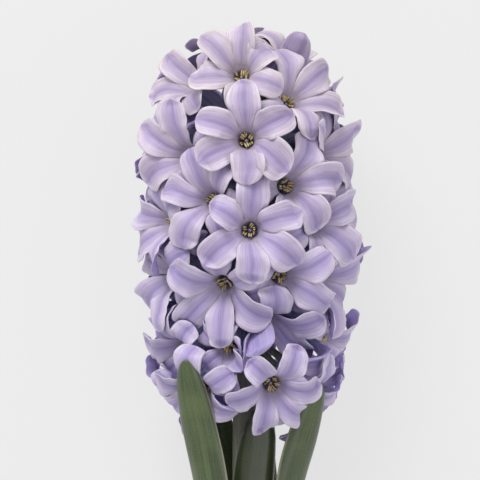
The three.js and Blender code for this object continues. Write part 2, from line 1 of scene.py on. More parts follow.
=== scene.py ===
"""A cut hyacinth laid on a pale table: fleshy petals, anthers, leaves, stem and bulb base over the frame.

The plant is drawn upright in its own frame, in millimetres: X to its right, Y up its stem and Z to its
front. PlantFrame lays it down and turns it into metres in the row frame. Angles are in degrees where a
field holds them. A run is a pair: where along a petal or leaf, from 0 to 1, a form starts and is full.
"""

import logging
import math
from dataclasses import dataclass
from enum import Enum, IntEnum
from functools import partial
from typing import Callable

import bpy
import numpy as np
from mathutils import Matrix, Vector
from mathutils.bvhtree import BVHTree


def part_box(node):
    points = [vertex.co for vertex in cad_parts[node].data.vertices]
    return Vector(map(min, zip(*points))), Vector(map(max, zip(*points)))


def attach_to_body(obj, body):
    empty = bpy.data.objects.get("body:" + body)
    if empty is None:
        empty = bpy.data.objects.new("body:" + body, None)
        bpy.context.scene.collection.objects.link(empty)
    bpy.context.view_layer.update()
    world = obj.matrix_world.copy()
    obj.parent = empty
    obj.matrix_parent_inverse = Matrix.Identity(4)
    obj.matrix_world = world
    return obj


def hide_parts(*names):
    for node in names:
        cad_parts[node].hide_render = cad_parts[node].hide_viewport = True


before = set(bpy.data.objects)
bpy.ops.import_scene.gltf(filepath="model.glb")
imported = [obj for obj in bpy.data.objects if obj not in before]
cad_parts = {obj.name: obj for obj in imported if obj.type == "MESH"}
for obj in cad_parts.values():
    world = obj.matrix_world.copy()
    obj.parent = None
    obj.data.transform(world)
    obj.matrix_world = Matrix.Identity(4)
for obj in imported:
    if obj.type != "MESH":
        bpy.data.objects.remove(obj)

log = logging.getLogger("hyacinth")
MM = 0.001
# The photograph's scale, the stem's column in it, and the row that its cut end would have below it
MM_PER_PIXEL = 0.33
AXIS_PIXEL = 248.5
CUT_PIXEL = 740.0
TUBE_LENGTH = 13.0
PETALS = 6
SIXTH = math.radians(360 / PETALS)
GOLDEN_TURN = 137.508
UP = np.array([0.0, 1.0, 0.0])
Array = np.ndarray
Material = bpy.types.Material
Object = bpy.types.Object
Socket = bpy.types.NodeSocket
Tree = bpy.types.NodeTree
Run = tuple[float, float]
Faces = list[tuple[int, ...]]
Sizes = dict[str, float | int]
Inputs = dict[str | int, object] | list[object]
AddNode = Callable[..., Socket]


class Slot(Enum):
    """The record's material slots."""

    PETAL = "petal"
    LEAF = "leaf"
    STEM = "stem"
    BULB = "bulb"


class Draw(IntEnum):
    """What a seeded number is drawn for."""

    LIFT = 1
    REACH = 2
    ROLL = 3
    BEND = 4
    SWAY = 5
    TWIST = 6
    LENGTH = 7
    WIDTH = 8
    BOAT = 9
    LEFT_WAVE = 10
    RIGHT_WAVE = 11
    FLORET_TINT = 12
    PETAL_TINT = 13
    ANTHER_TURN = 14
    ANTHER_AWAY = 15
    ANTHER_OUT = 16
    ANTHER_LEAN = 17
    EDGE_LEAN = 18
    FOLDS = 19
    LEAF_RIPPLE = 20
    HOOK = 21
    ANTHER_SIDE = 22
    EDGE_TURN = 23
    FULLNESS = 24
    SWEEP = 25
    CURL = 26
    HOOD = 27
    MARGIN_ROLL = 28


# Small helpers


def draw(i: int, k: int, purpose: int) -> float:
    """Returns a seeded number from -1 to 1 for floret or leaf i, its petal k and a purpose."""
    s = math.sin(i * 12.9898 + k * 78.233 + purpose * 37.719) * 43758.5453
    return 2 * (s - math.floor(s)) - 1


def smoothstep(low: float, high: float, x: Array | float) -> Array:
    """Returns a smooth rise from 0 at low to 1 at high, at the places x."""
    s = np.clip((np.asarray(x, float) - low) / (high - low), 0, 1)
    return s * s * (3 - 2 * s)


def mix(a: Array, b: Array, turn: Array | float) -> Array:
    """Turns from direction a towards direction b.

    Args:
        a: A direction, or one a row.
        b: The direction a quarter turn on.
        turn: The angle in radians, or one a row.

    Returns:
        The directions, one a row where turn has rows.
    """
    turn = np.asarray(turn, float)
    if turn.ndim:
        turn = turn[:, None]
    return a * np.cos(turn) + b * np.sin(turn)


def unit(vectors: Array) -> Array:
    """Returns vectors, one a row, at length 1."""
    return vectors / np.linalg.norm(vectors, axis=1)[:, None]


def around_circle(count: int) -> Array:
    """Returns that many even angles round a circle, in radians."""
    return np.arange(count) * 2 * math.pi / count


def linear(colour: str) -> tuple[float, float, float, float]:
    """Turns an sRGB hex colour to linear light.

    Args:
        colour: Six hex digits after a hash.

    Returns:
        Red, green, blue and an alpha of 1.
    """
    parts = [int(colour[i : i + 2], 16) / 255 for i in (1, 3, 5)]
    red, green, blue = [p / 12.92 if p <= 0.04045 else ((p + 0.055) / 1.055) ** 2.4 for p in parts]
    return (red, green, blue, 1.0)


def fill(tree: Tree, node: bpy.types.Node, inputs: Inputs) -> None:
    """Gives a node's inputs their values and links.

    Args:
        tree: The node's tree.
        node: The node.
        inputs: A value, a hex colour, a socket or a list of sockets, in order, by number or by name.
    """
    for key, given in inputs.items() if isinstance(inputs, dict) else enumerate(inputs):
        for value in given if isinstance(given, list) else [given]:
            if isinstance(value, Socket):
                tree.links.new(value, node.inputs[key])
            elif isinstance(value, str) and value.startswith("#"):
                node.inputs[key].default_value = linear(value)
            else:
                node.inputs[key].default_value = value


def add_node(
    tree: Tree, kind: str, inputs: Inputs = (), out: str | int = 0, **settings: object
) -> Socket:
    """Adds a node with its settings and links.

    Args:
        tree: The tree that gets the node.
        kind: The node's type.
        inputs: What its inputs hold, as fill takes them.
        out: The output that is handed back.
        settings: Its own properties; stops are a ramp's places, each with a grey level or a hex colour.

    Returns:
        The output.
    """
    node = tree.nodes.new(kind)
    for n, (place, value) in enumerate(settings.pop("stops", ())):
        node.color_ramp.interpolation = "EASE"
        elements = node.color_ramp.elements
        element = elements[n] if n < len(elements) else elements.new(1.0)
        element.position = place
        element.color = linear(value) if isinstance(value, str) else (value, value, value, 1.0)
    for name, value in settings.items():
        setattr(node, name, value)
    fill(tree, node, inputs)
    return node.outputs[out]


def new_material(name: str) -> tuple[Material, AddNode]:
    """Makes a material.

    Args:
        name: What the material is.

    Returns:
        The material and add_node for its tree.
    """
    material = bpy.data.materials.new(name)
    material.use_nodes = True
    return material, partial(add_node, material.node_tree)


def set_skin(material: Material, inputs: Inputs) -> Material:
    """Gives a material's shader its values and links and returns the material."""
    fill(material.node_tree, material.node_tree.nodes["Principled BSDF"], inputs)
    return material


def vein_noise(add: AddNode, spread: list[tuple[Socket, float]], detail: float) -> Socket:
    """Adds a noise that is fine across a petal or leaf and long along it.

    Args:
        add: add_node for the tree.
        spread: The places across and along and the piece's own number, each with its count of veins.
        detail: The noise's detail.

    Returns:
        The noise.
    """
    place = [add("ShaderNodeMath", [value, count], operation="MULTIPLY") for value, count in spread]
    where = add("ShaderNodeCombineXYZ", place)
    return add("ShaderNodeTexNoise", {"Vector": where, "Scale": 1.0, "Detail": detail, "Roughness": 0.6})


def add_mesh(
    name: str,
    vertices: Array,
    faces: Faces,
    materials: list[Material],
    attributes: dict[str, Array] | None = None,
    edges: tuple[tuple[int, int], ...] = (),
) -> Object:
    """Makes a smooth-shaded mesh object at the origin.

    Args:
        name: The piece's name.
        vertices: Its points in metres, in the row frame.
        faces: Vertex numbers, face by face.
        materials: Its materials, the first on every face.
        attributes: One number or one vector a vertex, by name.
        edges: Its loose edges.

    Returns:
        The object.
    """
    mesh = bpy.data.meshes.new(name)
    mesh.from_pydata(vertices.tolist(), edges, faces)
    for key, values in (attributes or {}).items():
        values = np.asarray(values, np.float32)
        kind, part = ("FLOAT", "value") if values.ndim == 1 else ("FLOAT_VECTOR", "vector")
        mesh.attributes.new(key, kind, "POINT").data.foreach_set(part, values.ravel())
    for material in materials:
        mesh.materials.append(material)
    mesh.shade_smooth()
    mesh.update()
    piece = bpy.data.objects.new(name, mesh)
    bpy.context.scene.collection.objects.link(piece)
    return piece


def ring_faces(rows: int, count: int, first: int = 0, clockwise: bool = False) -> Faces:
    """Joins rings of points into a closed body with a pole at each end.

    Args:
        rows: How many rings there are.
        count: How many points a ring has.
        first: The first ring's first point; the two poles follow the last ring.
        clockwise: Whether the rings run the other way round the body.

    Returns:
        The faces.
    """
    pole = first + rows * count
    made: Faces = []
    for j in range(count):
        n = (j + 1) % count
        made += [(pole, first + j, first + n), (pole + 1, pole - count + n, pole - count + j)]
        made += [(a + n, a + j, a + count + j, a + count + n) for a in range(first, pole - count, count)]
    return [face[::-1] for face in made] if clockwise else made


# Geometry Nodes helpers


def new_tree(name: str, sizes: Sizes) -> tuple[Tree, AddNode, bpy.types.NodeOutputs, dict[str, Socket]]:
    """Makes a Geometry Nodes tree with named inputs.

    Args:
        name: The tree's name.
        sizes: Its inputs with their values; a whole number makes a whole-number input.

    Returns:
        The tree, add_node for it, its inputs, and those that are lengths, turned to metres.
    """
    tree = bpy.data.node_groups.new(name, "GeometryNodeTree")
    tree.interface.new_socket("Geometry", in_out="INPUT", socket_type="NodeSocketGeometry")
    for key, value in sizes.items():
        kind = "NodeSocketInt" if isinstance(value, int) else "NodeSocketFloat"
        tree.interface.new_socket(key, in_out="INPUT", socket_type=kind).default_value = value
    tree.interface.new_socket("Geometry", in_out="OUTPUT", socket_type="NodeSocketGeometry")
    add = partial(add_node, tree)
    given = tree.nodes.new("NodeGroupInput").outputs
    lengths = [key for key, value in sizes.items() if isinstance(value, float) and key != "Size change"]
    metres = {key: add("ShaderNodeMath", [given[key], MM], operation="MULTIPLY") for key in lengths}
    return tree, add, given, metres


def end_tree(tree: Tree, geometry: Socket) -> Tree:
    """Hands a tree's geometry out and returns the tree."""
    fill(tree, tree.nodes.new("NodeGroupOutput"), [geometry])
    return tree


def facing_turn(add: AddNode) -> Socket:
    """Adds the turn that stands a shape along each point's way with its X facing the point's inward."""
    keys = ("way", "inward")
    way, inward = (
        add("GeometryNodeInputNamedAttribute", {"Name": key}, data_type="FLOAT_VECTOR") for key in keys
    )
    stand = add("FunctionNodeAlignRotationToVector", {"Vector": way}, axis="Z")
    inputs = {"Rotation": stand, "Vector": inward}
    return add("FunctionNodeAlignRotationToVector", inputs, axis="X", pivot_axis="Z")


def set_on_points(
    add: AddNode, given: bpy.types.NodeOutputs, shape: Socket, turned: bool, most: object = 1.0
) -> Socket:
    """Adds the nodes that set a shape on every point, each at its own size, as a plain smooth mesh.

    Args:
        add: add_node for the tree.
        given: The tree's inputs.
        shape: The shape.
        turned: Whether the points say which way their shape faces.
        most: The largest size.

    Returns:
        The mesh.
    """
    least = add("ShaderNodeMath", [1.0, given["Size change"]], operation="SUBTRACT")
    size = add("FunctionNodeRandomValue", {2: least, 3: most, "Seed": given["Seed"]}, 1, data_type="FLOAT")
    inputs = {"Points": given["Geometry"], "Instance": shape, "Scale": size}
    if turned:
        inputs["Rotation"] = facing_turn(add)
    placed = add("GeometryNodeInstanceOnPoints", inputs)
    return add("GeometryNodeSetShadeSmooth", [add("GeometryNodeRealizeInstances", [placed])])


def finish_nodes(
    name: str, carrier: Object, tree: Tree, sizes: Sizes
) -> Object:
    """Runs a Geometry Nodes tree over a carrier and keeps the result as a plain mesh.

    Args:
        name: The new piece's name.
        carrier: The object whose mesh the tree reads; it is removed.
        tree: The tree.
        sizes: The tree's inputs by name.

    Returns:
        The new piece.
    """
    modifier = carrier.modifiers.new(name, "NODES")
    modifier.node_group = tree
    for item in tree.interface.items_tree:
        if item.item_type == "SOCKET" and item.name in sizes:
            modifier[item.identifier] = sizes[item.name]
    graph = bpy.context.evaluated_depsgraph_get()
    mesh = bpy.data.meshes.new_from_object(carrier.evaluated_get(graph), depsgraph=graph)
    carrier.modifiers.remove(modifier)
    bpy.data.objects.remove(carrier)
    mesh.name = name
    piece = bpy.data.objects.new(name, mesh)
    bpy.context.scene.collection.objects.link(piece)
    return piece


def keep(piece: Object, slot: Slot, *nodes: str) -> None:
    """Rides a piece on the body and lets it stand for CAD nodes.

    Args:
        piece: The piece.
        slot: Its material slot; not used.
        nodes: The CAD nodes that it replaces.
    """
    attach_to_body(piece, "root")
    if nodes:
        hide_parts(*nodes)
    log.info("%s: %d faces", piece.name, len(piece.data.polygons))


# The plant's place on the table


@dataclass(frozen=True)
class PlantFrame:
    """Lays the upright plant on the table."""

    lean: float = 7.5
    cut_height: float = 12.0
    base_depth: float = 6.3
    base_edge: float = 8.3

    def turn(self) -> Array:
        """Returns the rotation that lays the plant down."""
        c, s = math.cos(math.radians(self.lean)), math.sin(math.radians(self.lean))
        return np.array([[1, 0, 0], [0, c, -s], [0, s, c]])

    def shift(self) -> Array:
        """Returns where the plant's own origin lies, in millimetres, from the bulb base's box."""
        low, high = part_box("bulb_base")
        corner = self.turn() @ np.array([0, -self.base_depth, self.base_edge])
        return np.array([(low.x + high.x) / 2 / MM, low.y / MM - corner[1], self.cut_height])

    def place(self, points: Array) -> Array:
        """Returns the plant's points, in mm, as metres in the row frame, pressed flat on the table."""
        placed = (points @ self.turn().T + self.shift()) * MM
        placed[..., 2] = np.maximum(placed[..., 2], 0)
        return placed

    def lift_out(self, points: Array) -> Array:
        """Returns points of the row frame, in metres, as millimetres in the plant's frame."""
        return (points / MM - self.shift()) @ self.turn()

    def normal(self) -> Array:
        """Returns the table's upward direction in the plant's frame."""
        return self.turn().T @ np.array([0.0, 0.0, 1.0])

    def carry(self, name: str, points: list[Array], ways: list, inwards: list) -> Object:
        """Makes a carrier of points that say how a small shape stands on them.

        Args:
            name: The carrier's name.
            points: Its points.
            ways: The direction along the shape at each point.
            inwards: The direction that the shape's X faces at each point.

        Returns:
            The carrier.
        """
        lay = self.turn().T
        facing = {"way": np.array(ways) @ lay, "inward": np.array(inwards) @ lay}
        return add_mesh(name, self.place(np.array(points)), [], [], facing)


# The head: the seeded rule that the solids follow


@dataclass(frozen=True)
class Shown:
    """A floret that the photograph shows well: its mouth's column and row, its rise and its petals."""

    column: float
    row: float
    lift: float
    open: tuple[float, ...]
    aims: tuple[float, ...]


SHOWN = (
    Shown(241, 75, 27, (112, 140, 145, 150, 150, 135), (3, 48, 104, 178, 270, 302)),
    Shown(246, 140, 8, (125, 108, 125, 120, 108, 112), (0, 57, 125, 180, 236, 287)),
    Shown(286, 186, 6, (120, 125, 130, 130, 135, 112), (21, 88, 140, 196, 262, 316)),
    Shown(250, 230, 2, (130, 108, 118, 130, 112, 112), (2, 64, 130, 183, 225, 288)),
    Shown(213, 201, 6, (125, 112, 135, 130, 130, 118), (-22, 33, 98, 150, 204, 277)),
    Shown(272, 385, -24, (135, 150, 165, 122, 150, 145), (28, 82, 116, 170, 243, 310)),
    Shown(265, 316, -52, (140, 120, 150, 130, 150, 140), (0, 60, 120, 180, 240, 300)),
    Shown(224, 284, -30, (150, 140, 130, 120, 115, 140), (0, 60, 120, 180, 226, 290)),
)


@dataclass
class Floret:
    """One floret's place: its share of the way up, its turn round the stem and its own frame."""

    index: int
    u: float
    turn: float
    shown: Shown | None = None
    lift: float = 0.0
    attach: float = 0.0
    mouth: Array | None = None
    way: Array | None = None
    up: Array | None = None
    right: Array | None = None
    root: Array | None = None
    joint: Array | None = None
    size: float = 1.0
    roll: float = 0.0

    @property
    def name(self) -> str:
        """The floret's node."""
        return f"floret_{self.index + 1:02d}"

    def spot(self, angle: Array | float, away: Array | float, out: Array | float) -> Array:
        """Finds points of the floret.

        Args:
            angle: Clockwise from up, in radians.
            away: Distance from the floret's axis.
            out: Distance out along it from the joint with the stalk.

        Returns:
            The points, one a row.
        """
        given = [np.atleast_1d(np.asarray(x, float)) for x in (angle, away, out)]
        angle, away, out = np.broadcast_arrays(*given)
        return (
            self.joint
            + (np.cos(angle) * away * self.size)[:, None] * self.up
            + (np.sin(angle) * away * self.size)[:, None] * self.right
            + (out * self.size)[:, None] * self.way
        )


@dataclass(frozen=True)
class Head:
    """The flower head: how its florets are laid out."""

    plant: PlantFrame
    florets: int = 52
    bottom: float = 133.0
    run: float = 79.0
    reach: float = 28.0
    reach_change: float = 1.2
    top_reach: float = 13.0
    top_power: int = 7
    lowest_lift: float = -42.0
    lift_gain: float = 66.0
    lift_power: float = 0.8
    lift_change: float = 7.0
    tip_lift_gain: float = 58.0
    tip_lift_power: int = 8
    throat_rest: float = 7.5
    start_turn: float = 52.0
    roll_change: float = 9.0
    spacing: float = 20.5
    highest: float = 0.97
    tip_shrink: float = 0.16

    def way_of(self, turn: Array | float, lift: Array | float) -> Array:
        """Returns the direction at a turn round the stem and a rise, both in radians."""
        up = np.sin(lift) + 0 * np.asarray(turn)
        return np.stack([np.sin(turn) * np.cos(lift), up, np.cos(turn) * np.cos(lift)], axis=-1)

    def level(self, u: Array | float) -> tuple[Array, Array, Array]:
        """Returns the height up the stem, the rise and the reach of florets at u."""
        gain = self.lift_gain * u**self.lift_power + self.tip_lift_gain * u**self.tip_lift_power
        lift = np.radians(self.lowest_lift + gain)
        return self.bottom + self.run * u, lift, self.reach - self.top_reach * u**self.top_power

    def mouth_at(self, u: Array | float, turn: Array | float) -> Array:
        """Returns where the mouth of a floret at u and turn would be."""
        attach, lift, reach = self.level(u)
        return self.way_of(turn, lift) * np.asarray(reach)[..., None] + np.asarray(attach)[..., None] * UP

    def lay_out(self) -> list[Floret]:
        """Returns the florets in even shares of the head's surface, a golden turn apart."""
        steps = 400
        edge = self.mouth_at(np.arange(steps + 1) / steps, np.zeros(steps + 1))
        length = np.linalg.norm(np.diff(edge, axis=0), axis=1)
        area = np.concatenate([[0], np.cumsum(length * (edge[1:, 2] + edge[:-1, 2]) / 2)])
        florets = []
        for i in range(self.florets):
            share = (i + 0.5) / self.florets * area[-1]
            s = int(np.searchsorted(area, share)) - 1
            u = (s + (share - area[s]) / (area[s + 1] - area[s])) / steps
            florets.append(Floret(i, u, math.radians((self.start_turn + i * GOLDEN_TURN) % 360)))
        return florets

    def pin_shown(self, florets: list[Floret]) -> None:
        """Gives each shown floret the place of the nearest free one.

        Args:
            florets: The head's florets.
        """
        climb = 0.001
        for shown in SHOWN:
            height = (CUT_PIXEL - shown.row) * MM_PER_PIXEL
            lift = math.radians(shown.lift)
            u = 0.0
            while u < 1 and self.mouth_at(u, 0.0)[1] < height:
                u += climb
            reach = float(self.level(u)[2])
            aside = (shown.column - AXIS_PIXEL) * MM_PER_PIXEL
            turn = math.asin(aside / (reach * math.cos(lift)))
            attach = height - reach * math.sin(lift)
            mouth = self.way_of(turn, lift) * reach + attach * UP
            free = [f for f in florets if not f.shown]
            nearest = min(free, key=lambda f: float(np.linalg.norm(self.mouth_at(f.u, f.turn) - mouth)))
            nearest.u, nearest.turn, nearest.shown = u, turn, shown
            nearest.mouth, nearest.lift, nearest.attach = mouth, lift, attach

    def even_out(self, florets: list[Floret]) -> None:
        """Lets neighbours nearer than the spacing push each other along the head's surface.

        Args:
            florets: The head's florets; the shown ones stay.
        """
        small, rounds, eagerness, least_around = 0.001, 60, 0.25, 64
        u = np.array([f.u for f in florets])
        turn = np.array([f.turn for f in florets])
        free = np.array([f.shown is None for f in florets])
        for _ in range(rounds):
            mouths = self.mouth_at(u, turn)
            for i, f in enumerate(florets):
                if f.shown:
                    mouths[i] = f.mouth
            along = (self.mouth_at(u + small, turn) - mouths) / small
            around = (self.mouth_at(u, turn + small) - mouths) / small
            apart = mouths[:, None] - mouths[None]
            gap = np.linalg.norm(apart, axis=2)
            np.fill_diagonal(gap, 2 * self.spacing)
            weight = np.where(gap < self.spacing, eagerness * (self.spacing - gap) / gap, 0)
            push = (apart * weight[..., None]).sum(1)
            u_step = (push * along).sum(1) / (along**2).sum(1)
            turn_step = (push * around).sum(1) / np.maximum((around**2).sum(1), least_around)
            u = np.where(free, np.clip(u + u_step, 0, self.highest), u)
            turn = np.where(free, turn + turn_step, turn)
        for i, f in enumerate(florets):
            f.u, f.turn = float(u[i]), float(turn[i])

    def set_frame(self, f: Floret) -> None:
        """Gives a floret its joint with the stalk, its size and its directions.

        Args:
            f: The floret.
        """
        attach, lift, reach = (float(x) for x in self.level(f.u))
        lift = f.lift if f.shown else lift + math.radians(self.lift_change) * draw(f.index, 0, Draw.LIFT)
        f.way = self.way_of(f.turn, lift)
        f.up = self.way_of(f.turn, lift + math.radians(90))
        f.right = np.cross(f.up, f.way)
        f.root = UP * (f.attach if f.shown else attach)
        reach += 0 if f.shown else self.reach_change * draw(f.index, 0, Draw.REACH)
        drop = -float(f.way @ self.plant.normal())
        if drop > 0:
            height = self.plant.cut_height + float(f.root @ self.plant.normal())
            reach = min(reach, (height - self.throat_rest) / drop)
        f.size = 1 - self.tip_shrink * f.u**4
        f.joint = f.root + f.way * (reach - TUBE_LENGTH * f.size)
        own_roll = math.radians(self.roll_change) * draw(f.index, 0, Draw.ROLL)
        f.roll = math.radians(f.shown.aims[0]) if f.shown else own_roll

    def build(self) -> list[Floret]:
        """Returns the florets, each in its frame."""
        florets = self.lay_out()
        self.pin_shown(florets)
        self.even_out(florets)
        for f in florets:
            self.set_frame(f)
        return florets


# Petals


@dataclass
class Petal:
    """How one petal grows: its angles in degrees, and its length and width in millimetres."""

    k: int
    first: float
    last: float
    sway: float
    twist: float
    length: float
    width: float


@dataclass(frozen=True)
class PetalRule:
    """How a petal bends, and which of the possible bends its solid took."""

    length: float = 20.0
    length_change: float = 0.06
    width: float = 10.0
    width_change: float = 0.08
    width_loss: float = 0.4
    outer_first: float = 24.0
    inner_first: float = 14.0
    lowest_last: float = 150.0
    last_loss: float = 35.0
    last_change: float = 32.0
    outer_last_gain: float = 8.0
    sway_change: float = 7.0
    twist_change: float = 16.0
    aim_sway: float = 1.6
    steepest_root: float = 85.0
    root_radius: float = 4.1
    path_steps: int = 20

    def own(self, f: Floret, k: int) -> Petal:
        """Returns petal k of floret f as it would grow with nothing in its way."""
        side = 1 if k % 2 == 0 else -1
        pull = partial(draw, f.index, k)
        last = self.lowest_last - self.last_loss * f.u + self.last_change * pull(Draw.BEND)
        petal = Petal(
            k,
            self.outer_first if side > 0 else self.inner_first,
            last + side * self.outer_last_gain,
            self.sway_change * pull(Draw.SWAY),
            self.twist_change * pull(Draw.TWIST),
            self.length * (1 + self.length_change * pull(Draw.LENGTH)),
            self.width * (1 + self.width_change * pull(Draw.WIDTH)),
        )
        if f.shown:
            petal.last = f.shown.open[k]
            petal.sway = self.aim_sway * (f.shown.aims[k] - f.shown.aims[0] - (360 / PETALS) * k)
            petal.twist /= 2
        return petal

    def choices(self) -> Array:
        """Returns the changes of length, last angle, first angle and sway that a petal may take."""
        shorter = [0, 0.12, 0.25, 0.4, 0.55, 0.7]
        last = [0, -20, 20, -40, 40, -60, 60, -80, 80, -110, 100, -140, 120]
        first = [0, 15, -8, 30, -24, 50, 65]
        sway = [0, -14, 14, -26, 26, -40, 40]
        return np.array(np.meshgrid(shorter, last, first, sway, indexing="ij")).reshape(4, -1)

    def chosen(self, f: Floret, k: int, corners: Array) -> Petal:
        """Finds the bend that the solid's petal has: the one whose tip is a corner of the solid.

        Args:
            f: The floret.
            k: The petal's number.
            corners: The solid's corners in the plant's frame.

        Returns:
            The petal as the solid has it.
        """
        own = self.own(f, k)
        shorter, last, first, sway = self.choices()
        first, last, sway = own.first + first, own.last + last, own.sway + sway
        allowed = first <= self.steepest_root
        first, last, sway, shorter = (values[allowed] for values in (first, last, sway, shorter))
        middle = (np.arange(self.path_steps) + 0.5) / self.path_steps
        bend = np.radians(first[:, None] + (last - first)[:, None] * middle)
        turn = np.radians(sway[:, None] * middle)
        step = own.length * (1 - shorter) * f.size / self.path_steps
        outward, around = self.sides(f, k)
        tips = (
            self.root(f, k)
            + (np.cos(bend).sum(1) * step)[:, None] * f.way
            + ((np.sin(bend) * np.cos(turn)).sum(1) * step)[:, None] * outward
            + ((np.sin(bend) * np.sin(turn)).sum(1) * step)[:, None] * around
        )
        apart = (tips**2).sum(1)[:, None] + (corners**2).sum(1)[None] - 2 * tips @ corners.T
        n = int(apart.min(1).argmin())
        length, width = own.length * (1 - shorter[n]), own.width * (1 - self.width_loss * shorter[n])
        bend = [float(values[n]) for values in (first, last, sway)]
        return Petal(k, *bend, own.twist, float(length), float(width))

    def root(self, f: Floret, k: int) -> Array:
        """Returns where petal k's midline leaves the mouth."""
        return f.spot(f.roll + SIXTH * k, self.root_radius, TUBE_LENGTH)[0]

    def sides(self, f: Floret, k: int) -> tuple[Array, Array]:
        """Returns the directions away from the axis and round it at petal k."""
        angle = f.roll + SIXTH * k
        return mix(f.up, f.right, angle), mix(f.right, -f.up, angle)

    def directions(self, f: Floret, petal: Petal, t: Array) -> tuple[Array, Array, Array]:
        """Finds a petal's own directions.

        Args:
            f: The floret.
            petal: The petal.
            t: Places along it, from 0 at the mouth to 1 at the tip.

        Returns:
            The directions along the petal, out of its face and across it, one a row.
        """
        outward, around = self.sides(f, petal.k)
        bend = np.radians(petal.first + (petal.last - petal.first) * t)
        sway = np.radians(petal.sway * t)
        twist = np.radians(petal.twist * t)
        aside = mix(outward, around, sway)
        level = mix(outward, around, sway + math.pi / 2)
        face = mix(f.way, aside, bend - math.pi / 2)
        return mix(f.way, aside, bend), mix(face, level, -twist), mix(level, face, twist)

    def midline(self, f: Floret, petal: Petal, t: Array) -> Array:
        """Follows a petal's midline.

        Args:
            f: The floret.
            petal: The petal.
            t: Places along it.

        Returns:
            The midline's points.
        """
        fine = 4 * self.path_steps
        along, _, _ = self.directions(f, petal, (np.arange(fine) + 0.5) / fine)
        steps = along * (petal.length * f.size / fine)
        path = np.vstack([np.zeros(3), np.cumsum(steps, axis=0)]) + self.root(f, petal.k)
        at = np.arange(fine + 1) / fine
        return np.stack([np.interp(t, at, path[:, c]) for c in range(3)], axis=1)


